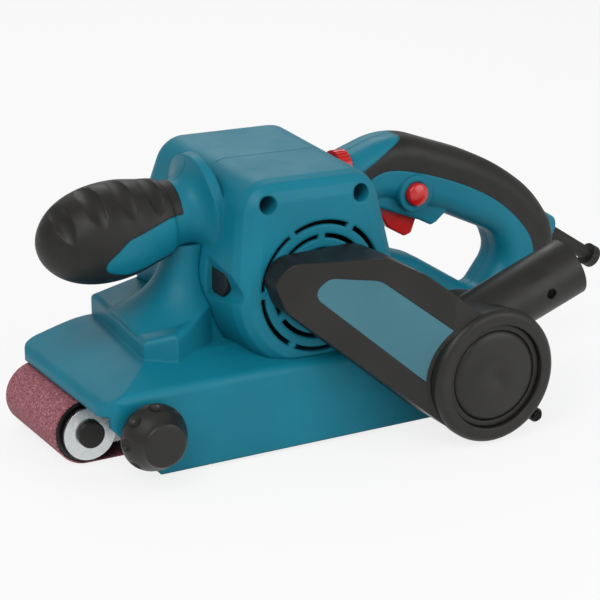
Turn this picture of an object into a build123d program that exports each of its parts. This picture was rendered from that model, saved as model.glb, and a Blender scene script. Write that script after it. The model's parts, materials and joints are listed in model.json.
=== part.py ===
from build123d import *
from functools import cache
from math import asin, cos, hypot, radians, sin, sqrt, tan
import os

# Hand-held belt sander for a 76 x 533 mm belt, in millimetres.
# +X points to the operator (rear), +Y to the operator's right, +Z up.
# The origin is the middle of the belt's flat sanding face.

os.makedirs("parts", exist_ok=True)

# Clearances
RUN_GAP = 0.3            # between a moving piece and what stands still beside it
FIT_GAP = 0.05           # radial, a shaft or ring in its seat

# Sanding belt, rollers and platen
BELT_WIDTH = 76.0
BELT_THICK = 0.9
ROLLER_R = 19.6
ROLLER_SPACING = 202.4
PAD_THICK = 2.0
PLATE_THICK = 1.5
PLATEN_HALF = 76.0       # half of the platen's length
LAGGING_THICK = 3.0
DRUM_SHAFT_R = 6.0
IDLER_AXLE_R = 5.0
AXLE_HEAD_R = 8.3
AXLE_PLATE_R = 16.8
AXLE_PLATE_THICK = 2.0
YOKE_ARM_THICK = 2.5
YOKE_ARM_HALF = 9.0
TENSION_TRAVEL = 6.0
TONGUE_HALF = 8.0
TONGUE_HEIGHT = 8.0
SPRING_R = 5.5
SPRING_LENGTH = 36.0
SPRING_Y = -19.0
DRUM_HOLES = 6

# Frame and the tension lever on its open right side
FRAME_WEB_LEFT = -49.0
FRAME_WEB_THICK = 6.0
SOLE_THICK = 5.0
SOLE_RIBS = (-34.0, -4.0, 26.0, 56.0)
RIB_HEIGHT = 17.0
LEVER_AT = (-41.0, 39.5)
LEVER_LENGTH = 56.0
LEVER_WIDTH = 6.0
LEVER_PIN_R = 2.5
LUG_THICK = 3.0

# Belt hood
HOOD_LEFT = -82.0
HOOD_RIGHT = 45.0
HOOD_REAR = 158.0
HOOD_WALL = 3.0
SKIRT_Z = 2.6
SKIRT_FRONT = -73.0
LIP_X = -110.0
LIP_Z = 44.0
LIP_THICK = 8.0
CREASE_Z = 55.0
ROOF_Z = 64.0
ROOF_FRONT = -66.0
CREASE_R = 6.0
SHOULDER_Y = -46.0
SHOULDER_R = 24.0
HEEL_Z = 16.0
CORNER_R = 14.0

# Faceted pedestal under the front handle
PEDESTAL_FRONT = -68.0
PEDESTAL_LEFT = -58.7
PEDESTAL_RIM_Z = 75.0
PEDESTAL_SLOPE = 12.5
PEDESTAL_EDGE = 4.0
COLUMN_X = -27.0
COLUMN_FOOT_R = 46.0
COLUMN_TOP_R = 14.0
COLUMN_TOP_Z = 124.0

# Motor housing
MOTOR_X = 39.0
MOTOR_Z = 101.0
MOTOR_LEFT = -77.0       # vent face
MOTOR_RIGHT = 45.0
BARREL_R = 71.0          # at the right end
CAP_R = 54.0             # at the vent face
CAP_ROUND = 12.0
BACK_ROUND = 7.0
SHELL = 3.2
RIDGE_R = 20.0           # of the two soft ridges over the long screws
RIDGE_LEFT = 11.5        # how far they reach beyond the screws, at the vent face
RIDGE_RIGHT = 16.5       # and at the right end
BOSS_FRONT = (3.0, 156.5)
BOSS_REAR = (66.5, 155.5)
SCREW_BORE_R = 5.6
SCREW_DEPTH = 20.0
SCREW_R = 2.1
SCREW_POST_R = 5.0
SLEEVE_WALL = 1.8
RECESS_AT = (-20.0, 107.5)
RECESS_LEAN = 110.0
RECESS_LENGTH = 15.0
RECESS_FLOOR = -38.0
RECESS_WALL = 1.2
VENT_WIDTH = 3.0
VENT_RADII = (39.9, 31.4, 22.9)
VENT_BRIDGES = 6
BRIDGE_HALF = 2.2

# Motor
FIELD_R = 36.0
FIELD_YOKE = 5.0
FIELD_BORE_R = 21.6
FIELD_LEFT = -22.0
FIELD_LENGTH = 38.0
POLE_HALF = 10.0
SHOE_HALF = 18.0
SHOE_THICK = 4.0
COIL_OVERHANG = 6.0
ARMATURE_R = 21.0
ARMATURE_SLOTS = 12
MOTOR_SHAFT_R = 5.0
COMMUTATOR_R = 13.0
COMMUTATOR_LENGTH = 11.0
COMMUTATOR_BARS = 24
BRUSH_LENGTH = 16.0
BRUSH_WIDTH = 7.0
BRUSH_HEIGHT = 6.0
HOLDER_WALL = 1.5
FAN_R = 35.0
FAN_HUB_R = 11.0
FAN_LENGTH = 9.5
FAN_BLADES = 11
FAN_RAKE = 22.0
PLATE_SLOTS = 10
BEARING_R = 13.0
SMALL_BEARING_R = 11.0
BEARING_WIDTH = 8.0

# Ribbed drive belt and its pulleys
MOTOR_PULLEY_R = 6.4     # to the middle of the ribbed belt
DRUM_PULLEY_R = 15.6
PULLEY_SHAFT_R = 3.0
PULLEY_GROOVES = 5
FLANGE_WIDTH = 3.0
RIBBED_THICK = 2.0
RIBBED_WIDTH = 12.0
RIBBED_Y = -62.0

# Handles, both on one upright plane
HANDLE_Y = -18.0
HANDLE_HALF = 18.0
HANDLE_ROUND = 12.0
GRIP_SKIN = 2.8
HANDLE_WALL = 5.5        # grip skin and the shell under it
KNOB_TIP = (-119.5, 131.0)
KNOB_TILT = 7.0
KNOB_R = 30.0
KNOB_NECK_R = 21.0
KNOB_FULL = 46.0         # from the tip to the widest place
KNOB_LENGTH = 90.0
NECK_BLEND = 13.0         # how far the neck flares into the motor housing
GRIP_LENGTH = 85.5
WINDOW_SINK = 0.7        # how far the housing lies below the grip's skin
GROOVE_COUNT = 4
GROOVE_FIRST = 13.0
GROOVE_STEP = 17.0
GROOVE_R = 8.0
GROOVE_DEPTH = 2.0
GROOVE_LEAN = 25.0
GROOVE_SPREAD = 1.35     # the hollow's floor curves more slowly than the grip

# Controls
TRIGGER_WIDTH = 16.0
TRIGGER_PIVOT = (108.0, 133.0)
TRIGGER_PIN_R = 1.5
LOCK_AT = (129.7, 136.4)
LOCK_R = 7.4
LOCK_PROUD = 7.5
LOCK_TRAVEL = 3.0
DIAL_AT = (81.0, -24.0, 155.5)
DIAL_R = 12.5
DIAL_THICK = 8.0
DIAL_RIBS = 28
TRACK_BACK = 19.2        # behind the front roller's axle
TRACK_Z = 32.0
TRACK_KNOB_R = 20.0
TRACK_KNOB_LENGTH = 27.0
TRACK_SCREW_R = 3.0
TRACK_DIMPLES = 8

# Electrical blocks in the handle: front, rear, low, high
SWITCH_BLOCK = (106.0, 139.0, 144.5, 154.0)
MODULE_BLOCK = (160.0, 182.0, 128.5, 138.0)

# Cord guard at the rear of the handle
GUARD_START = (250.0, 87.0)
GUARD_END = (285.0, 65.0)
GUARD_R = 5.4
GUARD_TIP_R = 4.6
GUARD_BEAD_R = 7.6
GUARD_BEAD = 6.0
GUARD_PLUG_R = 4.6
GUARD_COLLAR_R = 10.5
GUARD_SEAT = -7.0        # where the sleeve starts, along its axis
CORD_R = 3.2
CORD_DEPTH = 30.0

# Dust duct and spout
SPOUT_X = 129.2
SPOUT_Z = 44.4
DUCT_FACE = -135.0
RING_R = 42.5
RING_BORE_R = 33.0
RING_THICK = 8.0
DUCT_WALL = 2.5
DUCT_EDGE = 2.0
DUCT_NOSE_FACE = -93.0
PLATE_SINK = 1.0
DRUM_CUP_R = 41.0
SPOUT_TILT = 20.0
SPOUT_R = 18.8
SPOUT_WALL = 2.8
SPOUT_LENGTH = 86.5
SOCKET_DEPTH = 45.0
SOCKET_STEP = 0.8
SPOUT_HOLE_R = 3.4
SPOUT_HOLE_BACK = 26.5   # from the end of the tube
LUG_ANGLE = -44.5
LUG_R = 4.5
PORT_R = 22.0
PORT_WALL = 2.5
PORT_LENGTH = 8.0

# Places worked out from the sizes above
AXIS_Z = BELT_THICK + RUN_GAP + ROLLER_R
IDLER_X = -ROLLER_SPACING / 2
DRUM_X = ROLLER_SPACING / 2
TRACK_AT = (IDLER_X + TRACK_BACK, TRACK_Z)
GRIP_END_X = KNOB_TIP[0] + GRIP_LENGTH
HALF_BELT = BELT_WIDTH / 2
HOOD_INNER = HOOD_LEFT + HOOD_WALL
FRAME_WEB_RIGHT = FRAME_WEB_LEFT + FRAME_WEB_THICK
FIELD_RIGHT = FIELD_LEFT + FIELD_LENGTH
BEARING_SEAT = MOTOR_RIGHT - SHELL - BEARING_WIDTH
SOLE_Z = BELT_THICK + PAD_THICK + PLATE_THICK
SOLE_TOP = SOLE_Z + SOLE_THICK
SOLE_RIGHT = HALF_BELT - 2
LEVER_LOW = SOLE_Z + 7
LEVER_HIGH = SOLE_Z + 20
YOKE_LEFT = -HALF_BELT - YOKE_ARM_THICK - 1
YOKE_RIGHT = HALF_BELT + YOKE_ARM_THICK + 1
YOKE_REAR = IDLER_X + ROLLER_R + 9
CUP_RIGHT = HOOD_LEFT - RUN_GAP
CUP_LEFT = DUCT_FACE + RING_THICK + RUN_GAP
LUG_LEFT = DUCT_FACE + 4
FAR = 400.0              # long enough to cut right through


# Helpers

def slab(sketch, left, right):
    """A sketch in X and Z, made solid from Y = left to Y = right."""
    return extrude(Plane.XZ.offset(-right) * sketch, amount=right - left)


def disc(x, z, radius, left, right):
    """A round bar along Y."""
    return slab(Pos(x, z) * Circle(radius), left, right)


def ring(x, z, outer, inner, left, right):
    """A round tube along Y."""
    return slab(Pos(x, z) * (Circle(outer) - Circle(inner)), left, right)


def block(x0, x1, y0, y1, z0, z1):
    """A box between two corners."""
    middle = Pos((x0 + x1) / 2, (y0 + y1) / 2, (z0 + z1) / 2)
    return middle * Box(x1 - x0, y1 - y0, z1 - z0)


def rounded(*corners):
    """A closed outline from (x, z, corner radius) triples."""
    points = [(x, z) for x, z, radius in corners]
    radii = [radius for x, z, radius in corners]
    return make_face(FilletPolyline(*points, radius=radii, close=True))


def turned(x, z, profile):
    """A face given in (radius, Y), turned about the Y-parallel axis through x, z."""
    face = Plane(origin=(x, 0, z)) * profile
    return revolve(face, Axis((x, 0, z), (0, 1, 0)))


def polygon(*points):
    return make_face(Polyline(*points, close=True))


def main_body(shape):
    """The largest solid of a shape; crumbs that a cut has left are dropped."""
    return shape.solids().sort_by(SortBy.VOLUME)[-1]


def side_edges(solid):
    """The edges round the two outermost faces across Y."""
    faces = solid.faces().sort_by(Axis.Y)
    return faces[0].edges() + faces[-1].edges()


# Belt hood

def hood_side():
    return rounded(
        (SKIRT_FRONT, SKIRT_Z, 2),
        (LIP_X, LIP_Z, 8),
        (LIP_X, LIP_Z + LIP_THICK, 6),
        (ROOF_FRONT, ROOF_Z, 60),
        (HOOD_REAR, ROOF_Z, 12),
        (HOOD_REAR, HEEL_Z, 12),
        (HOOD_REAR - 36, SKIRT_Z, 6),
    )


def hood_cavity_side():
    inner_roof = ROOF_Z - HOOD_WALL
    return polygon(
        (-FAR, -FAR),
        (-FAR, LIP_Z),
        (LIP_X + LIP_THICK, LIP_Z),
        (ROOF_FRONT, inner_roof),
        (HOOD_REAR - HOOD_WALL, inner_roof),
        (HOOD_REAR - HOOD_WALL, -FAR),
    )


def hood_section(inset):
    """The hood's cross-section in Y and Z: upright left wall, sloping shoulder, level roof."""
    roof = ROOF_Z + 1 - inset
    return rounded(
        (HOOD_LEFT + inset, -FAR, 0),
        (HOOD_LEFT + inset, CREASE_Z - inset, CREASE_R),
        (SHOULDER_Y, roof, SHOULDER_R),
        (HOOD_RIGHT - inset, roof, CREASE_R),
        (HOOD_RIGHT - inset, -FAR, 0),
    )


def hood_plan():
    length = HOOD_REAR - LIP_X
    width = HOOD_RIGHT - HOOD_LEFT
    middle = Pos((HOOD_REAR + LIP_X) / 2, (HOOD_RIGHT + HOOD_LEFT) / 2)
    return middle * RectangleRounded(length, width, CORNER_R)


@cache
def pedestal_solid():
    """Faceted foot with a soft rim, and the concave column that rises from it to the handle."""
    front = PEDESTAL_FRONT
    left = PEDESTAL_LEFT
    plan = polygon(
        (front + 9, HOOD_RIGHT),
        (front, left + 9),
        (front + 19, left),
        (front + 51, left + 18),
        (MOTOR_X, left + 24),
        (MOTOR_X, HOOD_RIGHT),
    )
    rise = (MOTOR_X - front) * tan(radians(PEDESTAL_SLOPE))
    side = polygon(
        (front, CREASE_Z),
        (front, PEDESTAL_RIM_Z),
        (MOTOR_X, PEDESTAL_RIM_Z + rise),
        (MOTOR_X, CREASE_Z),
    )
    upright = extrude(Plane.XY.offset(CREASE_Z) * plan, amount=FAR)
    foot = upright & slab(side, left, HOOD_RIGHT)
    foot = fillet(foot.faces().sort_by(Axis.Z)[-1].edges(), PEDESTAL_EDGE)
    return foot + (pedestal_column() & upright) - barrel_solid(-RUN_GAP)


def pedestal_column():
    """A trumpet shape, wide at the foot and slim under the handle, leaning a little to the rear."""
    sections = []
    for share in (0, 0.1, 0.25, 0.45, 0.7, 1):
        radius = COLUMN_TOP_R + (COLUMN_FOOT_R - COLUMN_TOP_R) * (1 - share) ** 3
        x = COLUMN_X + 4 * share
        y = HANDLE_Y + 4 * (1 - share)
        z = PEDESTAL_RIM_Z + (COLUMN_TOP_Z - PEDESTAL_RIM_Z) * share
        sections.append(Plane(origin=(x, y, z)) * Circle(radius))
    return loft(sections)


@cache
def hood_solid():
    body = slab(hood_side(), HOOD_LEFT, HOOD_RIGHT)
    body &= extrude(Plane.YZ.offset(-FAR) * hood_section(0), amount=2 * FAR)
    body &= extrude(Plane.XY * hood_plan(), amount=FAR)
    body += disc(SPOUT_X, SPOUT_Z, PORT_R + 4, HOOD_LEFT, SHOULDER_Y - 6)
    return body


@cache
def drive_cover():
    """A hump on the hood's shoulder that closes the belt drive against the motor housing."""
    top = MOTOR_Z - CAP_R / 2
    side = polygon(
        (MOTOR_X, CREASE_Z),
        (MOTOR_X, top),
        (DRUM_X - 16, top),
        (DRUM_X + 6, CREASE_Z),
    )
    return slab(side, HOOD_LEFT + 6, SHOULDER_Y) - barrel_solid(-RUN_GAP)


def drive_slot():
    """Room for the ribbed belt and its pulleys where they pass from the hood into the housing."""
    half = RIBBED_WIDTH / 2 + FLANGE_WIDTH + 1
    return slab(wrap(RIBBED_THICK / 2 + 3), RIBBED_Y - half, RIBBED_Y + half)


def belt_hood():
    cavity = slab(hood_cavity_side(), HOOD_INNER, HOOD_RIGHT - HOOD_WALL)
    cavity &= extrude(Plane.YZ.offset(-FAR) * hood_section(HOOD_WALL), amount=2 * FAR)
    belt_way = block(-FAR, DRUM_X + ROLLER_R + 8, HOOD_RIGHT - 2 * HOOD_WALL, FAR, -FAR, LIP_Z)
    body = hood_solid() + pedestal_solid() + drive_cover()
    body -= cavity
    body -= belt_way
    body -= drive_slot()
    body += ring(SPOUT_X, SPOUT_Z, PORT_R, PORT_R - PORT_WALL, HOOD_LEFT - PORT_LENGTH, HOOD_LEFT)
    body -= disc(SPOUT_X, SPOUT_Z, PORT_R - PORT_WALL, HOOD_LEFT - PORT_LENGTH - 1, SHOULDER_Y)
    body += disc(*TRACK_AT, 2 * TRACK_SCREW_R, HOOD_INNER, FRAME_WEB_LEFT - 8)
    body -= disc(*TRACK_AT, TRACK_SCREW_R + FIT_GAP, HOOD_LEFT - 1, FRAME_WEB_LEFT)
    seat = SMALL_BEARING_R + FIT_GAP
    return body + ring(DRUM_X, AXIS_Z, seat + 2.5, seat, HOOD_INNER, HOOD_INNER + 5)


# Motor housing and handles

def barrel_share(y):
    """0 at the housing's right end, 1 at its vent face."""
    return (MOTOR_RIGHT - y) / (MOTOR_RIGHT - MOTOR_LEFT)


def barrel_radius(y):
    return BARREL_R - (BARREL_R - CAP_R) * barrel_share(y)


def barrel_section(y, inset):
    """Round about the motor, drawn out at the top into two soft ridges: the hull of three circles."""
    circles = [Pos(MOTOR_X, MOTOR_Z) * Circle(barrel_radius(y) - inset)]
    beyond = RIDGE_RIGHT - (RIDGE_RIGHT - RIDGE_LEFT) * barrel_share(y)
    for x, z in (BOSS_FRONT, BOSS_REAR):
        away = hypot(x - MOTOR_X, z - MOTOR_Z)
        share = (away + beyond - RIDGE_R) / away
        centre = Pos(MOTOR_X + (x - MOTOR_X) * share, MOTOR_Z + (z - MOTOR_Z) * share)
        circles.append(centre * Circle(RIDGE_R - inset))
    return make_hull([circle.edge() for circle in circles])


@cache
def barrel_solid(inset):
    """The motor housing, tapered to its vent face and rounded at both ends; inset gives its cavity."""
    ends = []
    for y, inward, edge in ((MOTOR_LEFT, 1, CAP_ROUND), (MOTOR_RIGHT, -1, BACK_ROUND)):
        for turn in (0, 30, 60, 90):
            at = y + inward * edge * (1 - cos(radians(turn)))
            ends.append((at, edge * (1 - sin(radians(turn)))))
    middle = (MOTOR_LEFT + MOTOR_RIGHT) / 2
    shrink = 1 - 2 * inset / (MOTOR_RIGHT - MOTOR_LEFT)
    sections = []
    for y, fall in sorted(ends):
        at = middle + (y - middle) * shrink
        sections.append(Plane.XZ.offset(-at) * barrel_section(y, inset + fall))
    return loft(sections, ruled=True)


@cache
def handle_loop(inset):
    """The D handle as a rounded loop; inset shrinks it on every side."""
    outer = rounded(
        (60, 148, 16),
        (88, 164.5, 20),
        (121, 175.5, 55),
        (192, 149.5, 170),
        (226.5, 123.5, 90),
        (247, 93, 28),
        (231, 46, 24),
        (204, 33, 20),
        (100, 33, 16),
        (60, 60, 16),
    )
    gap = rounded(
        (98, 136, 10),
        (154, 118.5, 60),
        (196, 98.5, 13),
        (202, 82, 14),
        (185, 60, 7),
        (138, 90, 30),
        (98, 104, 10),
    )
    loop = offset(outer, -inset) - offset(gap, inset)
    half = HANDLE_HALF - inset
    solid = slab(loop, HANDLE_Y - half, HANDLE_Y + half)
    return fillet(side_edges(solid), HANDLE_ROUND - inset)


def switch_box():
    """The lower front of the handle, over the trigger, with its pointed finger guard."""
    side = rounded(
        (88, 150, 2),
        (88, 136, 3),
        (137.5, 116, 1),
        (146, 111.5, 2),
        (150, 113, 3),
        (158, 119.5, 4),
        (172, 128, 4),
        (150, 150, 4),
    )
    half = HANDLE_HALF - 4
    return fillet(side_edges(slab(side, HANDLE_Y - half, HANDLE_Y + half)), 2.0)


def guard_axis():
    dx = GUARD_END[0] - GUARD_START[0]
    dz = GUARD_END[1] - GUARD_START[1]
    length = hypot(dx, dz)
    return Vector(dx / length, 0, dz / length), length


def along_guard(radius, start, end, end_radius=None):
    """A round bar or cone on the cord guard's axis, between two distances from its start."""
    direction, length = guard_axis()
    base = Vector(GUARD_START[0], HANDLE_Y, GUARD_START[1])
    plane = Plane(origin=base + direction * start, z_dir=direction)
    if end_radius is None:
        return extrude(plane * Circle(radius), amount=end - start)
    top = Plane(origin=base + direction * end, z_dir=direction)
    return loft([plane * Circle(radius), top * Circle(end_radius)])


def knob_axis():
    tilt = radians(KNOB_TILT)
    return Vector(cos(tilt), 0, sin(tilt))


def knob_plane():
    origin = (KNOB_TIP[0], HANDLE_Y, KNOB_TIP[1])
    return Plane(origin=origin, x_dir=knob_axis(), z_dir=(0, -1, 0))


def knob_radius(along):
    """The palm grip's radius at a distance from its tip: an egg, fullest before the middle."""
    if along < KNOB_FULL:
        return KNOB_R * sqrt(1 - (1 - along / KNOB_FULL) ** 2.2)
    share = (along - KNOB_FULL) / (KNOB_LENGTH - KNOB_FULL)
    return KNOB_NECK_R + (KNOB_R - KNOB_NECK_R) * cos(radians(90 * share)) ** 1.3


def knob_normal(along):
    """The outward normal of the palm grip's profile, along its axis and away from it."""
    slope = knob_radius(along + 0.5) - knob_radius(along - 0.5)
    return -slope / hypot(slope, 1), 1 / hypot(slope, 1)


def knob_point(along, inset):
    back, out = knob_normal(along)
    return along - inset * back, knob_radius(along) - inset * out


@cache
def front_knob(inset):
    """The egg-shaped palm grip of the front handle, turned about its own axis."""
    stations = [KNOB_FULL * share for share in (0.09, 0.26, 0.57, 1)]
    stations += [KNOB_FULL + (KNOB_LENGTH - KNOB_FULL) * share for share in (0.3, 0.55, 0.8)]
    points = [knob_point(along, inset) for along in stations]
    neck = (KNOB_LENGTH, KNOB_NECK_R - inset)
    flare = (KNOB_LENGTH + NECK_BLEND, KNOB_NECK_R + NECK_BLEND - inset)
    end = flare[0] + NECK_BLEND / 2
    curve = Spline((inset, 0), *points, neck, tangents=((0, 1), (1, 0)))
    blend = Spline(neck, flare, tangents=((1, 0), (0.3, 1)))
    tail = Polyline(flare, (end, flare[1]), (end, 0), (inset, 0))
    face = knob_plane() * make_face([curve, blend, *tail.edges()])
    return revolve(face, Axis((KNOB_TIP[0], HANDLE_Y, KNOB_TIP[1]), knob_axis()))


def knob_window():
    """Where the housing's own colour shows on the left side of the front handle."""
    window = rounded(
        (-93, 121, 6),
        (-74, 139, 14),
        (-44, 147, 10),
        (-10, 146, 2),
        (-10, 114, 2),
        (-46, 118, 6),
        (-70, 113, 14),
    )
    return slab(window, HANDLE_Y - 2 * KNOB_R, HANDLE_Y - KNOB_R / 3)


def finger_grooves():
    """Shallow lens-shaped finger hollows across the palm grip; each is part of a wide torus."""
    grooves = []
    lean = radians(GROOVE_LEAN)
    tilt = radians(KNOB_TILT)
    upright = Vector(-sin(tilt), 0, cos(tilt))
    outward = upright * cos(lean) + Vector(0, -1, 0) * sin(lean)
    tip = Vector(KNOB_TIP[0], HANDLE_Y, KNOB_TIP[1])
    for index in range(GROOVE_COUNT):
        place = GROOVE_FIRST + GROOVE_STEP * index
        along, reach = knob_point(place, GROOVE_DEPTH - GROOVE_R)
        sweep = GROOVE_SPREAD * knob_radius(place) + GROOVE_R
        centre = tip + knob_axis() * along + outward * (reach - sweep)
        grooves.append(Plane(origin=centre, z_dir=knob_axis()) * Torus(sweep, GROOVE_R))
    return grooves


@cache
def front_skin():
    """The palm grip's rubber skin before the finger hollows are pressed into it."""
    skin = front_knob(0) - front_knob(GRIP_SKIN)
    skin -= knob_window()
    skin -= barrel_solid(0)
    skin -= pedestal_solid()
    skin -= block(GRIP_END_X, FAR, -FAR, FAR, -FAR, FAR)
    return main_body(skin)


def front_grip():
    skin = front_skin()
    for groove in finger_grooves():
        skin -= groove
    return skin


def grip_region():
    """The part of the D handle that the black grip covers, seen from the side."""
    lower = Spline(
        (97, 148.5),
        (111, 153),
        (124, 151.3),
        (146.5, 144.7),
        (173.4, 133.7),
        (196.7, 119.7),
        (212, 105.5),
        (219.5, 95.5),
        (223.5, 84),
        (223, 74),
    )
    rest = Polyline((223, 74), (237, 74), (240, 90), (238, 105), (250, 113), (275, 125), (275, 190),
                    (134, 190), (127, 173), (112, 166), (101, 159.5), (91, 154), (97, 148.5))
    return make_face([lower, *rest.edges()])


@cache
def rear_grip():
    covered = handle_loop(0) & slab(grip_region(), HANDLE_Y - FAR, HANDLE_Y + FAR)
    skin = covered - handle_loop(GRIP_SKIN)
    skin -= along_guard(GUARD_COLLAR_R, -40, 6)
    return skin - barrel_solid(0)


def handle_cavity():
    hollow = handle_loop(HANDLE_WALL)
    hollow -= block(-FAR, FAR, -FAR, FAR, -FAR, ROOF_Z + 4)
    return hollow


def vent_rings(left, right):
    """Concentric slots round the motor's axis, broken by bridges."""
    slots = []
    for index, radius in enumerate(VENT_RADII):
        outer = radius + VENT_WIDTH / 2
        slot = ring(MOTOR_X, MOTOR_Z, outer, outer - VENT_WIDTH, left, right)
        bar = block(0, outer + 5, left, right, -BRIDGE_HALF, BRIDGE_HALF)
        for step in range(VENT_BRIDGES):
            slot -= about_motor(360 * step / VENT_BRIDGES + 30 * (index % 2), bar)
        slots.append(slot)
    return slots


def side_recess(grow, left, right):
    """The oblong recess on the front of the motor housing; grow gives the boss round it."""
    slot = SlotCenterToCenter(RECESS_LENGTH, 2 * (SCREW_BORE_R + grow))
    return slab(Pos(*RECESS_AT) * Rot(0, 0, RECESS_LEAN) * slot, left, right)


def motor_sleeve():
    """Inside the housing: the sleeve that holds the field core, with four ribs to the wall."""
    sleeve = ring(MOTOR_X, MOTOR_Z, FIELD_R + SHELL, FIELD_R + FIT_GAP, FIELD_LEFT, FIELD_RIGHT)
    rib = block(FIELD_R + 1.5, BARREL_R - 1, FIELD_LEFT, FIELD_RIGHT, -2, 2)
    for angle in (45, 135, 225, 315):
        sleeve += about_motor(angle, rib)
    return sleeve & barrel_solid(1.0)


def housing_inside():
    """What stands inside the shell: sleeve, bearing seat, screw posts, dial seats, recess boss."""
    inside = motor_sleeve()
    seat = BEARING_R + FIT_GAP
    inside += ring(MOTOR_X, MOTOR_Z, seat + SHELL, seat, BEARING_SEAT, MOTOR_RIGHT - SHELL)
    for x, z in (BOSS_FRONT, BOSS_REAR):
        inside += disc(x, z, SCREW_POST_R, MOTOR_LEFT + SCREW_DEPTH, MOTOR_RIGHT - SHELL)
        sleeve = disc(x, z, SCREW_BORE_R + SLEEVE_WALL, MOTOR_LEFT, MOTOR_LEFT + SCREW_DEPTH + SLEEVE_WALL)
        inside += sleeve & barrel_solid(1.0)
    x, y, z = DIAL_AT
    for start in (x - DIAL_THICK / 2 - 6, x + DIAL_THICK / 2 + 0.6):
        inside += block(start, start + 5.4, HANDLE_Y - 12, HANDLE_Y + 12, z - 6, z + 5)
    return inside + (side_recess(RECESS_WALL, MOTOR_LEFT, RECESS_FLOOR + 4) & barrel_solid(1.0))


def handles():
    """Both handles' cores, hollow, with the grips' seats and the pedestal's room cut away."""
    body = handle_loop(0) + switch_box() + front_knob(WINDOW_SINK)
    body += along_guard(GUARD_COLLAR_R, GUARD_SEAT - 11, GUARD_SEAT)
    body += disc(*LOCK_AT, LOCK_R + 4.5, HANDLE_Y - HANDLE_HALF - 2.5, HANDLE_Y - HANDLE_HALF + HANDLE_WALL)
    body -= handle_cavity()
    body -= front_knob(GRIP_SKIN + SHELL)
    body -= pedestal_solid()
    body -= drive_cover()
    body -= front_skin()
    return body - rear_grip()


@cache
def housing():
    """Both halves of the motor housing, before they are split."""
    body = barrel_solid(0) + handles()
    body -= barrel_solid(SHELL)
    body += housing_inside()
    body -= hood_solid()
    for cut in housing_cuts():
        body -= cut
    return body


def housing_cuts():
    """Screw holes, vents and the pockets of the controls."""
    cuts = [drive_slot(), trigger_pocket(), dial_solid(2 * RUN_GAP, FIT_GAP)]
    for x, z in (BOSS_FRONT, BOSS_REAR):
        cuts.append(disc(x, z, SCREW_BORE_R, MOTOR_LEFT - 1, MOTOR_LEFT + SCREW_DEPTH))
        cuts.append(disc(x, z, SCREW_R + FIT_GAP, MOTOR_LEFT, MOTOR_RIGHT - 12))
    cuts.append(side_recess(0, MOTOR_LEFT - 5, RECESS_FLOOR))
    cuts += vent_rings(MOTOR_LEFT - 1, MOTOR_LEFT + SHELL + 1)
    cuts += vent_rings(MOTOR_RIGHT - SHELL - 1, MOTOR_RIGHT + 1)
    cuts.append(disc(*LOCK_AT, LOCK_R + RUN_GAP, HANDLE_Y - FAR, HANDLE_Y - 6))
    cuts.append(disc(*TRIGGER_PIVOT, TRIGGER_PIN_R + FIT_GAP, HANDLE_Y - 12, HANDLE_Y + 12))
    cuts.append(along_guard(GUARD_PLUG_R + FIT_GAP, GUARD_SEAT - 10, GUARD_SEAT))
    cuts.append(along_guard(GUARD_R + FIT_GAP, GUARD_SEAT, GUARD_SEAT + 30))
    return cuts


def left_housing():
    return main_body(housing() & block(-FAR, FAR, -FAR, HANDLE_Y, -FAR, FAR))


def right_housing():
    return main_body(housing() & block(-FAR, FAR, HANDLE_Y, FAR, -FAR, FAR))


# Controls

def trigger_side():
    return rounded(
        (106, 130, 1.5),
        (117, 112.5, 4),
        (129.5, 105, 3),
        (134.5, 106.5, 3),
        (138, 116, 1.5),
        (137, 125, 2),
        (112, 137.5, 3),
        (104, 136, 3),
    )


def trigger_pocket():
    """Room for the trigger at rest and squeezed, open below."""
    x, z = TRIGGER_PIVOT
    room = offset(trigger_side(), RUN_GAP + 0.5)
    half = TRIGGER_WIDTH / 2 + RUN_GAP
    pocket = slab(room, HANDLE_Y - half, HANDLE_Y + half)
    pivot = Axis((x, HANDLE_Y, z), (0, 1, 0))
    for angle in (-3.0, -6.0):
        pocket += pocket.rotate(pivot, angle)
    return pocket


def trigger():
    half = TRIGGER_WIDTH / 2
    body = slab(trigger_side(), HANDLE_Y - half, HANDLE_Y + half)
    body = fillet(side_edges(body), 1.2)
    return body - disc(*TRIGGER_PIVOT, TRIGGER_PIN_R + FIT_GAP, HANDLE_Y - 20, HANDLE_Y + 20)


def trigger_pin():
    return disc(*TRIGGER_PIVOT, TRIGGER_PIN_R, HANDLE_Y - 11.5, HANDLE_Y + 11.5)


def lock_button():
    """Domed button in the raised collar; it stops short of the trigger when pressed."""
    left = HANDLE_Y - HANDLE_HALF - LOCK_PROUD
    right = HANDLE_Y - TRIGGER_WIDTH / 2 - LOCK_TRAVEL - 1
    dome = Spline((LOCK_R, left + 3), (0.7 * LOCK_R, left + 0.8), (0, left), tangents=((0, -1), (-1, 0)))
    rest = Polyline((0, left), (0, right), (LOCK_R, right), (LOCK_R, left + 3))
    return turned(*LOCK_AT, make_face([dome, *rest.edges()]))


def dial_solid(room, spindle_room):
    """The speed dial's wheel and stub spindles; room makes it the size of its pocket."""
    x, y, z = DIAL_AT
    plane = Plane(origin=(x - DIAL_THICK / 2 - room, y, z), x_dir=(0, 1, 0), z_dir=(1, 0, 0))
    stub = Plane(origin=(x - DIAL_THICK / 2 - 4, y, z), x_dir=(0, 1, 0), z_dir=(1, 0, 0))
    wheel = extrude(plane * Circle(DIAL_R + room), amount=DIAL_THICK + 2 * room)
    return wheel + extrude(stub * Circle(2 + spindle_room), amount=DIAL_THICK + 8)


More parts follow.
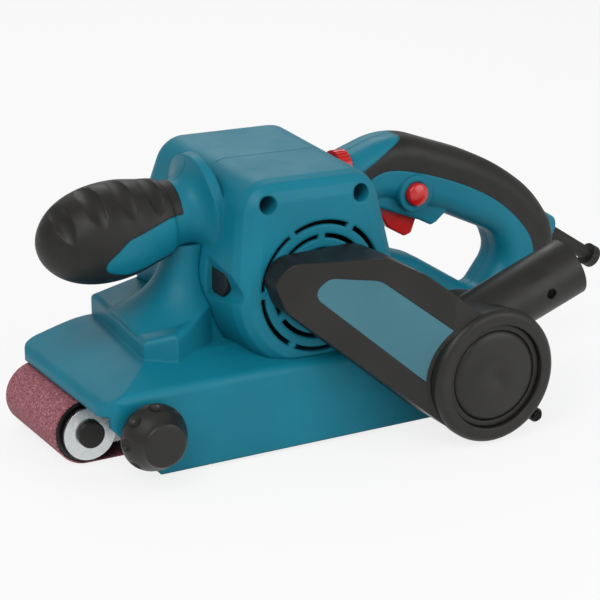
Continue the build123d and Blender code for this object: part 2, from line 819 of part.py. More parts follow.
def speed_dial():
    x, y, z = DIAL_AT
    wheel = dial_solid(0, 0)
    for index in range(DIAL_RIBS):
        angle = 360 * index / DIAL_RIBS
        notch = Rot(angle, 0, 0) * block(-DIAL_THICK, DIAL_THICK, -0.6, 0.6, DIAL_R - 0.8, DIAL_R + 2)
        wheel -= Pos(x, y, z) * notch
    return wheel


def tracking_knob():
    left = HOOD_LEFT - TRACK_KNOB_LENGTH - RUN_GAP
    right = HOOD_LEFT - RUN_GAP
    profile = make_face([
        *Polyline((0, right), (0.55 * TRACK_KNOB_R, right)).edges(),
        Spline((0.55 * TRACK_KNOB_R, right), (TRACK_KNOB_R, right - 13), (0.72 * TRACK_KNOB_R, left + 3.4),
               (0, left), tangents=((1, -0.2), (-1, 0))),
        Line((0, left), (0, right)),
    ])
    knob = turned(*TRACK_AT, profile)
    for index in range(TRACK_DIMPLES):
        angle = radians(360 * index / TRACK_DIMPLES)
        reach = TRACK_KNOB_R + 2.2
        x = TRACK_AT[0] + reach * cos(angle)
        z = TRACK_AT[1] + reach * sin(angle)
        knob -= Pos(x, right - 14, z) * Sphere(5.0)
    return knob - disc(*TRACK_AT, TRACK_SCREW_R + FIT_GAP, right - 14, right + 1)


def tracking_screw():
    return disc(*TRACK_AT, TRACK_SCREW_R, HOOD_LEFT - RUN_GAP - 14, YOKE_LEFT - RUN_GAP)


def cord_guard():
    direction, length = guard_axis()
    sleeve = along_guard(GUARD_R, GUARD_SEAT, length - GUARD_BEAD, GUARD_TIP_R)
    sleeve += along_guard(GUARD_PLUG_R, GUARD_SEAT - 9.5, GUARD_SEAT)
    sleeve += along_guard(GUARD_BEAD_R, length - GUARD_BEAD, length)
    sleeve -= along_guard(CORD_R, length - CORD_DEPTH, length + 1)
    return sleeve


# Sanding belt, rollers and frame

def loop_outline(grow):
    return Pos(0, AXIS_Z) * SlotCenterToCenter(ROLLER_SPACING, 2 * (ROLLER_R + grow))


def sanding_belt():
    outline = loop_outline(RUN_GAP + BELT_THICK) - loop_outline(RUN_GAP)
    return slab(outline, -HALF_BELT, HALF_BELT)


def platen_sheet(low, high):
    half = HALF_BELT - 1
    return block(-PLATEN_HALF, PLATEN_HALF, -half, half, low, high)


def platen_pad():
    return platen_sheet(BELT_THICK, BELT_THICK + PAD_THICK)


def platen_plate():
    return platen_sheet(BELT_THICK + PAD_THICK, SOLE_Z)


def frame_web():
    """The frame's upright wall between the sanding belt and the belt drive."""
    front = -PLATEN_HALF + 12
    rear = DRUM_X + 20
    low = SKIRT_Z + 2
    high = ROOF_Z - HOOD_WALL - RUN_GAP
    outline = rounded(
        (front, low, 4),
        (front, 40, 12),
        (front + 24, high, 12),
        (rear, high, 12),
        (rear, low, 12),
    )
    return slab(outline, FRAME_WEB_LEFT, FRAME_WEB_RIGHT)


def base_frame():
    """Die-cast frame: the upright web, and a ribbed sole that reaches into the belt loop."""
    sole_half = PLATEN_HALF - 6
    frame = frame_web()
    frame += block(-sole_half, sole_half, FRAME_WEB_RIGHT, SOLE_RIGHT, SOLE_Z, SOLE_TOP)
    for x in SOLE_RIBS:
        frame += block(x - 2, x + 2, FRAME_WEB_RIGHT, SOLE_RIGHT, SOLE_TOP, SOLE_TOP + RIB_HEIGHT)
    frame += block(SOLE_RIBS[0], SOLE_RIBS[-1], -2, 2, SOLE_TOP, SOLE_TOP + RIB_HEIGHT)
    frame += disc(DRUM_X, AXIS_Z, BEARING_R + 4, FRAME_WEB_LEFT, FRAME_WEB_RIGHT + 2)
    frame -= disc(DRUM_X, AXIS_Z, BEARING_R + FIT_GAP, FRAME_WEB_LEFT - 1, FRAME_WEB_RIGHT + 3)
    guide = TONGUE_HALF + RUN_GAP
    for left in (-guide - 4, guide):
        frame += block(-sole_half + 6, SOLE_RIBS[0], left, left + 4, SOLE_TOP, SOLE_TOP + TONGUE_HEIGHT)
    frame -= along_spring(SPRING_R + 0.5, FAR) & block(*frame_rib_span(), -HALF_BELT, HALF_BELT, 0, FAR)
    return frame + lever_bracket() - lever_bore()


def frame_rib_span():
    """The first rib's front and rear faces, with a little to spare."""
    return SOLE_RIBS[0] - 3, SOLE_RIBS[0] + 3


def lever_bracket():
    """A post on the sole with two lugs that hold the tension lever's pin."""
    x, y = LEVER_AT
    bracket = block(x - 5, x + 5, SOLE_RIGHT - 5, SOLE_RIGHT, SOLE_Z, LEVER_HIGH + LUG_THICK)
    for low in (LEVER_LOW - LUG_THICK, LEVER_HIGH):
        bracket += block(x - 5, x + 5, SOLE_RIGHT - 5, y + 3, low, low + LUG_THICK)
    return bracket


def lever_bore():
    return Pos(*LEVER_AT, 0) * Cylinder(LEVER_PIN_R + FIT_GAP, FAR)


def lever_pin():
    low = LEVER_LOW - LUG_THICK
    high = LEVER_HIGH + LUG_THICK
    return Pos(*LEVER_AT, (low + high) / 2) * Cylinder(LEVER_PIN_R, high - low)


def tension_lever():
    x, y = LEVER_AT
    plan = Pos(x + LEVER_LENGTH / 2, y) * SlotCenterToCenter(LEVER_LENGTH, LEVER_WIDTH)
    plan += Pos(x + LEVER_LENGTH, y + LEVER_WIDTH / 4) * Circle(0.75 * LEVER_WIDTH)
    low = LEVER_LOW + RUN_GAP
    return extrude(Plane.XY.offset(low) * plan, amount=LEVER_HIGH - RUN_GAP - low) - lever_bore()


def idler_yoke():
    """Cast fork that holds the front roller's axle; its tongue slides in the frame's guide."""
    bridge = IDLER_X + ROLLER_R + 3
    low = AXIS_Z - YOKE_ARM_HALF
    high = AXIS_Z + YOKE_ARM_HALF
    yoke = block(bridge, YOKE_REAR, YOKE_LEFT, YOKE_RIGHT, low, high)
    for start in (YOKE_LEFT, YOKE_RIGHT - YOKE_ARM_THICK):
        end = start + YOKE_ARM_THICK
        yoke += disc(IDLER_X, AXIS_Z, YOKE_ARM_HALF, start, end)
        yoke += block(IDLER_X, bridge, start, end, low, high)
        yoke -= disc(IDLER_X, AXIS_Z, IDLER_AXLE_R + FIT_GAP, start - 1, end + 1)
    yoke += disc(*TRACK_AT, 2 * TRACK_SCREW_R, YOKE_LEFT, YOKE_LEFT + YOKE_ARM_THICK)
    floor = SOLE_TOP + RUN_GAP
    tongue_end = SOLE_RIBS[0] - 4 - TENSION_TRAVEL
    yoke += block(YOKE_REAR, tongue_end, -TONGUE_HALF, TONGUE_HALF, floor, floor + TONGUE_HEIGHT)
    link_low = LEVER_HIGH + LUG_THICK + RUN_GAP
    return yoke + block(YOKE_REAR, LEVER_AT[0] + 5, LEVER_AT[1] - 2, YOKE_RIGHT, link_low, high)


def axle_plates():
    """Bright round plates on the outside of the yoke's arms, notched to pass the tracking screw."""
    bore = IDLER_AXLE_R + FIT_GAP
    screw_x, screw_z = TRACK_AT
    notch = SlotCenterToCenter(TENSION_TRAVEL, 2 * (TRACK_SCREW_R + RUN_GAP))
    outline = Pos(IDLER_X, AXIS_Z) * (Circle(AXLE_PLATE_R) - Circle(bore))
    outline -= Pos(screw_x - TENSION_TRAVEL / 2, screw_z) * notch
    plates = []
    for left in (YOKE_LEFT - AXLE_PLATE_THICK, YOKE_RIGHT):
        plates.append(slab(outline, left, left + AXLE_PLATE_THICK))
    return Compound(plates)


def idler_axle():
    left = YOKE_LEFT - AXLE_PLATE_THICK
    right = YOKE_RIGHT + AXLE_PLATE_THICK
    axle = disc(IDLER_X, AXIS_Z, IDLER_AXLE_R, left, right)
    axle += disc(IDLER_X, AXIS_Z, AXLE_HEAD_R, left - 3, left)
    return axle + disc(IDLER_X, AXIS_Z, AXLE_HEAD_R, right, right + 2)


def along_spring(radius, length):
    """A round bar on the tension spring's axis, from the yoke towards the rear."""
    plane = Plane(origin=(YOKE_REAR, SPRING_Y, AXIS_Z), z_dir=(1, 0, 0))
    return extrude(plane * Circle(radius), amount=length)


def tension_spring():
    return along_spring(SPRING_R, SPRING_LENGTH) - along_spring(SPRING_R - 1.5, SPRING_LENGTH)


def idler_roller():
    left = -HALF_BELT + 0.5
    right = HALF_BELT - 0.5
    body = ring(IDLER_X, AXIS_Z, ROLLER_R, SMALL_BEARING_R + FIT_GAP, left, right)
    for start in (left - 1, right - 2.5):
        body -= ring(IDLER_X, AXIS_Z, ROLLER_R - 2.5, BEARING_R + 0.5, start, start + 3.5)
    return body


def idler_bearings():
    inner = IDLER_AXLE_R + FIT_GAP
    rings = []
    for left in (-HALF_BELT + 0.5, HALF_BELT - 0.5 - BEARING_WIDTH):
        rings.append(ring(IDLER_X, AXIS_Z, SMALL_BEARING_R, inner, left, left + BEARING_WIDTH))
    return Compound(rings)


def drum_core():
    core_r = ROLLER_R - LAGGING_THICK
    core = ring(DRUM_X, AXIS_Z, core_r, DRUM_SHAFT_R + FIT_GAP, -HALF_BELT + 1, HALF_BELT - 1)
    reach = (core_r + DRUM_SHAFT_R) / 2
    for index in range(DRUM_HOLES):
        angle = radians(360 * index / DRUM_HOLES)
        x = DRUM_X + reach * cos(angle)
        z = AXIS_Z + reach * sin(angle)
        core -= disc(x, z, 3, HALF_BELT - 16, HALF_BELT)
    return core


def drum_lagging():
    inner = ROLLER_R - LAGGING_THICK + FIT_GAP
    return ring(DRUM_X, AXIS_Z, ROLLER_R, inner, -HALF_BELT + 1, HALF_BELT - 1)


def drum_shaft():
    return disc(DRUM_X, AXIS_Z, DRUM_SHAFT_R, HOOD_INNER + RUN_GAP, HALF_BELT - 2)


def pulley(x, z, pitch_r, bore_r):
    """A flanged pulley with V grooves that run along the ribbed belt."""
    crown = pitch_r - RIBBED_THICK / 2 - RUN_GAP
    flange = crown + RIBBED_THICK + 0.6
    left = RIBBED_Y - RIBBED_WIDTH / 2
    right = RIBBED_Y + RIBBED_WIDTH / 2
    step = RIBBED_WIDTH / PULLEY_GROOVES
    points = [(bore_r, left - FLANGE_WIDTH), (flange, left - FLANGE_WIDTH), (flange, left - 1)]
    for index in range(PULLEY_GROOVES):
        start = left + step * index
        points += [(crown, start), (crown - 1.4, start + step / 2)]
    points += [(crown, right), (flange, right + 1)]
    points += [(flange, right + FLANGE_WIDTH), (bore_r, right + FLANGE_WIDTH)]
    return turned(x, z, polygon(*points))


def drum_pulley():
    return pulley(DRUM_X, AXIS_Z, DRUM_PULLEY_R, DRUM_SHAFT_R + FIT_GAP)


def motor_pulley():
    return pulley(MOTOR_X, MOTOR_Z, MOTOR_PULLEY_R, PULLEY_SHAFT_R + FIT_GAP)


def wrap(grow):
    """The outline of a belt round the two pulleys, grown by a distance from the pitch line."""
    small = MOTOR_PULLEY_R + grow
    large = DRUM_PULLEY_R + grow
    dx = DRUM_X - MOTOR_X
    dz = AXIS_Z - MOTOR_Z
    span = hypot(dx, dz)
    ahead = Vector(dx / span, dz / span)
    across = Vector(-dz / span, dx / span)
    lean = asin((large - small) / span)
    corners = []
    for side in (1, -1):
        out = across * (side * cos(lean)) - ahead * sin(lean)
        near = Vector(MOTOR_X, MOTOR_Z) + out * small
        far = Vector(DRUM_X, AXIS_Z) + out * large
        corners.append((near, far))
    flank = polygon(corners[0][0], corners[0][1], corners[1][1], corners[1][0])
    return flank + Pos(MOTOR_X, MOTOR_Z) * Circle(small) + Pos(DRUM_X, AXIS_Z) * Circle(large)


def drive_belt():
    half = RIBBED_WIDTH / 2
    outline = wrap(RIBBED_THICK / 2) - wrap(-RIBBED_THICK / 2)
    return slab(outline, RIBBED_Y - half, RIBBED_Y + half)


def drum_bearing_inner():
    return ring(DRUM_X, AXIS_Z, BEARING_R, DRUM_SHAFT_R + FIT_GAP, FRAME_WEB_LEFT, FRAME_WEB_RIGHT)


def drum_bearing_outer():
    return ring(DRUM_X, AXIS_Z, SMALL_BEARING_R, DRUM_SHAFT_R + FIT_GAP, HOOD_INNER, HOOD_INNER + 5)


# Motor

def about_motor(angle, shape):
    """A shape drawn about the origin, turned by an angle and moved to the motor's axis."""
    return Pos(MOTOR_X, 0, MOTOR_Z) * Rot(0, angle, 0) * shape


def on_shaft(outer, left, right):
    """A ring that fits the motor's shaft."""
    return ring(MOTOR_X, MOTOR_Z, outer, MOTOR_SHAFT_R + FIT_GAP, left, right)


def bearing_plate():
    """Moulded bulkhead between the fan and the belt drive; it carries the left motor bearing."""
    left = FRAME_WEB_LEFT
    right = FRAME_WEB_RIGHT
    radius = barrel_radius(left) - SHELL
    plate = disc(MOTOR_X, MOTOR_Z, BARREL_R, left, right) & barrel_solid(SHELL + FIT_GAP)
    plate += disc(MOTOR_X, MOTOR_Z, BEARING_R + 4, left, right + 3)
    plate -= disc(MOTOR_X, MOTOR_Z, BEARING_R + FIT_GAP, left - 1, right + 4)
    slot = Pos(0.66 * radius, 0) * SlotOverall(24, 7)
    for index in range(PLATE_SLOTS):
        turn = Rot(0, 0, 360 * index / PLATE_SLOTS)
        plate -= slab(Pos(MOTOR_X, MOTOR_Z) * turn * slot, left - 1, right + 1)
    plate -= side_recess(RECESS_WALL + RUN_GAP, left - 1, right + 1)
    for x, z in (BOSS_FRONT, BOSS_REAR):
        plate -= disc(x, z, SCREW_POST_R + RUN_GAP, left - 1, right + 1)
    return plate - block(-FAR, FAR, -FAR, FAR, -FAR, ROOF_Z + RUN_GAP)


def motor_bearing_left():
    return on_shaft(BEARING_R, FRAME_WEB_LEFT, FRAME_WEB_LEFT + BEARING_WIDTH)


def motor_bearing_right():
    return on_shaft(BEARING_R, BEARING_SEAT, MOTOR_RIGHT - SHELL)


def armature_shaft():
    step = FRAME_WEB_LEFT - 1
    shaft = disc(MOTOR_X, MOTOR_Z, MOTOR_SHAFT_R, step, MOTOR_RIGHT - SHELL - RUN_GAP)
    return shaft + disc(MOTOR_X, MOTOR_Z, PULLEY_SHAFT_R, MOTOR_LEFT + SHELL + 2, step)


def armature_core():
    core = on_shaft(ARMATURE_R, FIELD_LEFT, FIELD_RIGHT)
    slot = block(ARMATURE_R - 7, ARMATURE_R + 1, FIELD_LEFT - 1, FIELD_RIGHT + 1, -1, 1)
    for index in range(ARMATURE_SLOTS):
        core -= about_motor(360 * index / ARMATURE_SLOTS, slot)
    return core


def armature_winding():
    coils = []
    for left in (FIELD_LEFT - COIL_OVERHANG, FIELD_RIGHT):
        coils.append(on_shaft(ARMATURE_R - 2, left, left + COIL_OVERHANG))
    return Compound(coils)


def commutator():
    left = FIELD_RIGHT + COIL_OVERHANG
    right = left + COMMUTATOR_LENGTH
    bars = on_shaft(COMMUTATOR_R, left, right)
    slit = block(COMMUTATOR_R - 1.2, COMMUTATOR_R + 1, left - 1, right + 1, -0.3, 0.3)
    for index in range(COMMUTATOR_BARS):
        bars -= about_motor(360 * index / COMMUTATOR_BARS, slit)
    return bars


def cooling_fan():
    right = FIELD_LEFT - COIL_OVERHANG - 1
    left = right - FAN_LENGTH
    fan = on_shaft(FAN_R, right - 2.5, right)
    fan += on_shaft(FAN_HUB_R, left, right)
    half = (FAN_R - FAN_HUB_R) / 2
    blade = Pos(FAN_HUB_R + half, 0, 0) * Rot(0, FAN_RAKE, 0) * block(-half, half, left, right - 2, -0.9, 0.9)
    for index in range(FAN_BLADES):
        fan += about_motor(360 * index / FAN_BLADES, blade)
    return fan


def field_core():
    """Laminated field: a round yoke with two pole shoes that face the armature."""
    yoke = Circle(FIELD_R) - Circle(FIELD_R - FIELD_YOKE)
    shoes = Circle(FIELD_BORE_R + SHOE_THICK) - Circle(FIELD_BORE_R)
    yoke += shoes & Rectangle(2 * SHOE_HALF, 2 * FIELD_R)
    yoke += Circle(FIELD_R - FIELD_YOKE / 2) & Rectangle(2 * POLE_HALF, 2 * FIELD_R)
    yoke -= Circle(FIELD_BORE_R)
    return slab(Pos(MOTOR_X, MOTOR_Z) * yoke, FIELD_LEFT, FIELD_RIGHT)


def field_coils():
    """Two coils, each wound round a pole between its shoe and the yoke."""
    left = FIELD_LEFT - COIL_OVERHANG
    right = FIELD_RIGHT + COIL_OVERHANG
    inner = FIELD_BORE_R + SHOE_THICK + RUN_GAP
    outer = FIELD_R - FIELD_YOKE - RUN_GAP
    pole = POLE_HALF + RUN_GAP
    band = ring(MOTOR_X, MOTOR_Z, outer, inner, left, right)
    band -= block(MOTOR_X - pole, MOTOR_X + pole, FIELD_LEFT - RUN_GAP, FIELD_RIGHT + RUN_GAP, 0, FAR)
    band &= block(MOTOR_X - SHOE_HALF, MOTOR_X + SHOE_HALF, left, right, 0, FAR)
    return band


def brush_box(side, start, end, width, height):
    """A box beside the commutator, from start to end away from the motor's axis."""
    x = MOTOR_X + side * (start + end) / 2
    y = FIELD_RIGHT + COIL_OVERHANG + COMMUTATOR_LENGTH / 2
    return Pos(x, y, MOTOR_Z) * Box(end - start, width, height)


def carbon_brushes():
    near = COMMUTATOR_R + RUN_GAP
    brushes = []
    for side in (1, -1):
        brushes.append(brush_box(side, near, near + BRUSH_LENGTH, BRUSH_WIDTH, BRUSH_HEIGHT))
    return Compound(brushes)


def brush_holders():
    near = COMMUTATOR_R + 3
    far = barrel_radius(FIELD_RIGHT + COIL_OVERHANG) - SHELL - 1
    brush_end = COMMUTATOR_R + RUN_GAP + BRUSH_LENGTH + FIT_GAP
    wall = 2 * HOLDER_WALL
    gap = 2 * FIT_GAP
    holders = []
    for side in (1, -1):
        holder = brush_box(side, near, far, BRUSH_WIDTH + wall, BRUSH_HEIGHT + wall)
        holders.append(holder - brush_box(side, near - 1, brush_end, BRUSH_WIDTH + gap, BRUSH_HEIGHT + gap))
    return Compound(holders)


# Electrical pieces in the handle

def switch_body():
    half = HANDLE_HALF - HANDLE_WALL - RUN_GAP
    front, rear, low, high = SWITCH_BLOCK
    return block(front, rear, HANDLE_Y - half, HANDLE_Y + half, low, high)


def speed_module():
    half = HANDLE_HALF - HANDLE_WALL - RUN_GAP
    front, rear, low, high = MODULE_BLOCK
    return block(front, rear, HANDLE_Y - half, HANDLE_Y + half, low, high)


# Dust duct, label plate and spout

def duct_outline():
    return rounded(
        (-2, 113, 10),
        (8, 124.5, 12),
        (62, 125.5, 26),
        (84, 114, 20),
        (SPOUT_X - 8, SPOUT_Z + RING_R - 3, 5),
        (SPOUT_X, SPOUT_Z, 0),
        (SPOUT_X - 28, SPOUT_Z - RING_R + 11, 5),
        (5, 95, 14),
    )


def duct_front_cut():
    """Everything in front of the duct's face, which slants outwards from nose to ring."""
    return extrude(Plane.XY.offset(-FAR) * polygon(
        (-FAR, DUCT_NOSE_FACE + 120),
        (0, DUCT_NOSE_FACE),
        (SPOUT_X - RING_R + 14, DUCT_FACE + 4),
        (FAR, DUCT_FACE + 4),
        (FAR, -FAR),
        (-FAR, -FAR),
    ), amount=2 * FAR)


def duct_solid():
    body = slab(duct_outline(), DUCT_FACE, MOTOR_LEFT - RUN_GAP)
    body -= duct_front_cut()
    body -= block(-FAR, FAR, HOOD_LEFT - RUN_GAP, FAR, -FAR, ROOF_Z)
    return body


def duct_ring():
    profile = rounded(
        (RING_BORE_R, DUCT_FACE, 1),
        (RING_R, DUCT_FACE, 4.5),
        (RING_R, DUCT_FACE + RING_THICK, 0),
        (RING_BORE_R, DUCT_FACE + RING_THICK, 0),
    )
    return turned(SPOUT_X, SPOUT_Z, profile)


def duct_lug_at():
    angle = radians(LUG_ANGLE)
    reach = RING_R + LUG_R - 1
    return SPOUT_X + reach * cos(angle), SPOUT_Z + reach * sin(angle)


def label_side():
    return rounded(
        (19, 105, 7),
        (29, 115, 8),
        (58, 112, 14),
        (108, 72, 2),
        (88, 43, 2),
    )


def duct_hollow():
    """The air way inside the duct; its back lies open against the hood and the vent face."""
    inside = slab(offset(duct_outline(), -DUCT_WALL), DUCT_FACE, MOTOR_LEFT + 1)
    return inside - Pos(0, DUCT_WALL, 0) * duct_front_cut()


def dust_duct():
    body = duct_solid() - duct_hollow()
    body += duct_ring()
    body += disc(*duct_lug_at(), LUG_R, LUG_LEFT, LUG_LEFT + RING_THICK)
    body -= disc(SPOUT_X, SPOUT_Z, RING_BORE_R, DUCT_FACE - 1, DUCT_FACE + RING_THICK + 1)
    body -= disc(SPOUT_X, SPOUT_Z, DRUM_CUP_R + RUN_GAP, CUP_LEFT - RUN_GAP, FAR)
    body -= disc(*duct_lug_at(), 1.6, LUG_LEFT, LUG_LEFT + RING_THICK)
    body -= label_pocket(0)
    return body


def label_pocket(gap):
    """The shallow recess that takes the label plate, parallel to the duct's slanting face."""
    shift = Pos(0, PLATE_SINK, 0)
    sheet = shift * duct_front_cut()
    prism = slab(offset(label_side(), -gap), -FAR, MOTOR_LEFT - 6)
    prism -= disc(SPOUT_X, SPOUT_Z, RING_R + 2 + gap, -FAR, FAR)
    return prism & sheet


def label_plate():
    shift = Pos(0, PLATE_SINK - 0.8, 0)
    return label_pocket(0.15) - shift * duct_front_cut()


def duct_screws():
    x, z = duct_lug_at()
    head = disc(x, z, 3.2, LUG_LEFT - 1.8, LUG_LEFT)
    return head + disc(x, z, 1.5, LUG_LEFT, LUG_LEFT + RING_THICK - 0.5)


def spout_direction():
    tilt = radians(SPOUT_TILT)
    return Vector(cos(tilt), 0, sin(tilt)), Vector(-sin(tilt), 0, cos(tilt))


def spout_base():
    along, across = spout_direction()
    beside_hood = Vector(SPOUT_X, CUP_RIGHT - SPOUT_R - 1, SPOUT_Z)
    return beside_hood + across * (DRUM_CUP_R - SPOUT_R - 0.2)


def dust_spout():
    """A round cup that turns in the duct's ring, with a tube that leaves it at a tangent."""
    along, across = spout_direction()
    plane = Plane(origin=spout_base(), z_dir=along)
    body = disc(SPOUT_X, SPOUT_Z, DRUM_CUP_R, CUP_LEFT, CUP_RIGHT)
    body += extrude(plane * Circle(SPOUT_R), amount=SPOUT_LENGTH)
    body -= disc(SPOUT_X, SPOUT_Z, DRUM_CUP_R - SPOUT_WALL, CUP_LEFT + SPOUT_WALL, CUP_RIGHT - SPOUT_WALL)
    body -= extrude(plane * Circle(SPOUT_R - SPOUT_WALL - SOCKET_STEP), amount=SPOUT_LENGTH)
    socket = Plane(origin=spout_base() + along * (SPOUT_LENGTH - SOCKET_DEPTH), z_dir=along)
    body -= extrude(socket * Circle(SPOUT_R - SPOUT_WALL), amount=SOCKET_DEPTH + 1)
    body -= disc(SPOUT_X, SPOUT_Z, PORT_R + RUN_GAP, CUP_RIGHT - 8.5, CUP_RIGHT + 1)
    body += ring(SPOUT_X, SPOUT_Z, RING_BORE_R - RUN_GAP, RING_BORE_R - 4, CUP_LEFT - 5, CUP_LEFT)
    hole = spout_base() + along * (SPOUT_LENGTH - SPOUT_HOLE_BACK)
    body -= disc(hole.X, hole.Z, SPOUT_HOLE_R, CUP_LEFT, hole.Y)
    return body


def spout_cap():
    """Domed cap in the cup's front, with a thumb dimple."""
    edge = RING_BORE_R - 4 - FIT_GAP
    front = CUP_LEFT - 5
    profile = make_face([
        *Polyline((0, front - 1.5), (0, CUP_LEFT), (edge, CUP_LEFT), (edge, front + 1)).edges(),
        Spline((edge, front + 1), (0.75 * edge, front - 2.2), (10, front - 3.0), (4, front - 2.0), (0, front - 1.5),
               tangents=((-0.5, -1), (-1, 0))),
    ])
    return turned(SPOUT_X, SPOUT_Z, profile)


# Screws

def housing_screws():
    screws = []
    for x, z in (BOSS_FRONT, BOSS_REAR):
        head_left = MOTOR_LEFT + SCREW_DEPTH - 3
        screw = disc(x, z, SCREW_BORE_R - 1.2, head_left, MOTOR_LEFT + SCREW_DEPTH)
        screws.append(screw + disc(x, z, SCREW_R, MOTOR_LEFT + SCREW_DEPTH, MOTOR_RIGHT - 14))
    return Compound(screws)


PIECES = {
    "belt_hood": belt_hood,
    "left_housing": left_housing,
    "right_housing": right_housing,
    "front_grip": front_grip,
    "rear_grip": rear_grip,
    "trigger": trigger,
    "trigger_pin": trigger_pin,
    "lock_button": lock_button,
    "speed_dial": speed_dial,
    "tracking_knob": tracking_knob,
    "tracking_screw": tracking_screw,
    "cord_guard": cord_guard,
    "sanding_belt": sanding_belt,
    "platen_pad": platen_pad,
    "platen_plate": platen_plate,
    "base_frame": base_frame,
    "tension_lever": tension_lever,
    "lever_pin": lever_pin,
    "idler_yoke": idler_yoke,
    "idler_axle": idler_axle,
    "axle_plates": axle_plates,
    "tension_spring": tension_spring,
    "idler_roller": idler_roller,
    "idler_bearings": idler_bearings,
    "drum_core": drum_core,
    "drum_lagging": drum_lagging,
    "drum_shaft": drum_shaft,
    "drum_pulley": drum_pulley,
    "motor_pulley": motor_pulley,
    "drive_belt": drive_belt,
    "drum_bearing_inner": drum_bearing_inner,
    "drum_bearing_outer": drum_bearing_outer,
    "bearing_plate": bearing_plate,
    "motor_bearing_left": motor_bearing_left,
    "motor_bearing_right": motor_bearing_right,
    "armature_shaft": armature_shaft,
    "armature_core": armature_core,
    "armature_winding": armature_winding,
    "commutator": commutator,
    "cooling_fan": cooling_fan,
    "field_core": field_core,
    "field_coils": field_coils,
    "carbon_brushes": carbon_brushes,
    "brush_holders": brush_holders,
    "switch_body": switch_body,
    "speed_module": speed_module,
    "dust_duct": dust_duct,
    "label_plate": label_plate,
    "duct_screws": duct_screws,
    "dust_spout": dust_spout,
    "spout_cap": spout_cap,
    "housing_screws": housing_screws,
}

for name, make in PIECES.items():
    export_step(make(), f"parts/{name}.step")
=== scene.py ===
import json
from math import cos, pi, radians, sin

import bmesh
import bpy
from mathutils import Matrix, Vector
from mathutils.bvhtree import BVHTree


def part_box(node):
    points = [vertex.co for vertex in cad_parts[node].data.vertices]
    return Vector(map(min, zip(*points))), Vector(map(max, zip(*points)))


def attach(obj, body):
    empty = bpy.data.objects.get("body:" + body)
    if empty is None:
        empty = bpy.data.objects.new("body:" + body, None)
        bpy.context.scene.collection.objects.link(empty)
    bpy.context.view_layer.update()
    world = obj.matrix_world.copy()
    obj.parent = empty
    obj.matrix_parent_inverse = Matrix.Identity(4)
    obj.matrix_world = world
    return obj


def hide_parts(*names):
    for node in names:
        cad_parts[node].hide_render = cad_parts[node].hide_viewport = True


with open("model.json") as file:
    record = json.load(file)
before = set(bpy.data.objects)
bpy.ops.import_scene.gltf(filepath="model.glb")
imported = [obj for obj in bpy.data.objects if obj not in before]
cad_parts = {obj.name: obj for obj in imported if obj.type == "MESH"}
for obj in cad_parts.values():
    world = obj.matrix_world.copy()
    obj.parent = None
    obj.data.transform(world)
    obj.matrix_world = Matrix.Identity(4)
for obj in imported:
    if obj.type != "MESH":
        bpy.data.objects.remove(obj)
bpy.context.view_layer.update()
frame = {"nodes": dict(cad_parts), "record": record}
NODES = frame["nodes"]

MM = 0.001

# Camera fitted to the photograph: turned about the tool, tilted down, long lens
CAMERA_AT = (-0.6036, -1.1968, 0.5295)
CAMERA_TURN = radians(-29.27)
CAMERA_TILT = radians(18.72)
CAMERA_LENS = 135.15
CAMERA_SENSOR = 36.0

# Studio
WHITE = (1.0, 1.0, 1.0, 1.0)
PAPER = (0.86, 0.86, 0.86, 1.0)
PAPER_SHARE = 0.82           # of plain white in what the camera sees of the floor; the rest takes the shadow
FLOOR_HALF = 60.0            # in metres, so that its far edge lies near the horizon
AIR_LIGHT = 0.45
LAMP_TARGET = (0.05, -0.02, 0.09)
LAMPS = {
    "key_lamp": {"place": (-0.9, -0.9, 1.3), "size": 0.9, "power": 14},
    "fill_lamp": {"place": (0.9, -1.3, 0.7), "size": 1.1, "power": 9},
    "rim_lamp": {"place": (0.5, 1.2, 1.1), "size": 0.8, "power": 4},
}

# Colours of the finishes; a pair is a darker and a lighter tone that the surface drifts between
TEAL = ("#0B6F84", "#107A90")
RUBBER = ("#171614", "#201F1C")
NYLON = ("#191816", "#22211E")
LABEL = ("#2F6A79", "#35727F")
ALUMINIUM = ("#9EA1A4", "#AEB1B4")
COPPER = ("#8E4A22", "#B5642F")
FELT = ("#37332E", "#4A453F")
SHEET_GAP = "#5A5958"
SHEET_EDGE = "#7C7B79"
RED = "#C30808"
BELT_DARK = "#6E3A44"
BELT_PINK = "#9A5460"
BELT_GRIT = "#C58B90"
ZINC = "#D5D9DA"
CARBON = "#1B1B1C"
LAGGING = "#1F1E1D"
# Near black of the rollers; at the idler's end it is also painted shade, standing in for the shadow inside
# the belt's edge
ROLLER_AND_SHADE = "#1E1E1E"
BLACK_OXIDE = "#232323"

# Patterns
NOISE_LOW = 0.3              # a noise texture's values lie mostly between these two
NOISE_HIGH = 0.7
EDGE_SAMPLES = 6
SHEET_BAND_MM = 2 * pi
WAVES_AT_SCALE_1 = 20 / (2 * pi)  # bands in one metre of a wave texture whose scale is 1

# Tension spring: a coil in place of the plain sleeve of the solids
SPRING_COILS = 9.0
SPRING_WIRE = 0.75 * MM
COIL_POINTS = 24             # in one turn
WIRE_POINTS = 10

# Palm grip: finger hollows across its top, each a bite of a wide ring
GRIP_TIP = Vector((-119.5, -18.0, 131.0)) * MM
GRIP_TILT = radians(7.0)
GRIP_REACH = 60.0 * MM       # well outside the grip
GRIP_MERGE = 0.001 * MM      # joins the corners of the solid's loose triangles
HOLLOW_COUNT = 4
HOLLOW_FIRST = 13.0 * MM     # from the grip's tip
HOLLOW_STEP = 19.5 * MM
HOLLOW_R = 9.0 * MM
HOLLOW_DEPTH = 2.3 * MM
HOLLOW_LEAN = radians(25.0)  # from the top towards the left side
HOLLOW_SPREAD = 1.35         # the hollow's floor curves more slowly than the grip
RING_POINTS = 180
SECTION_POINTS = 64

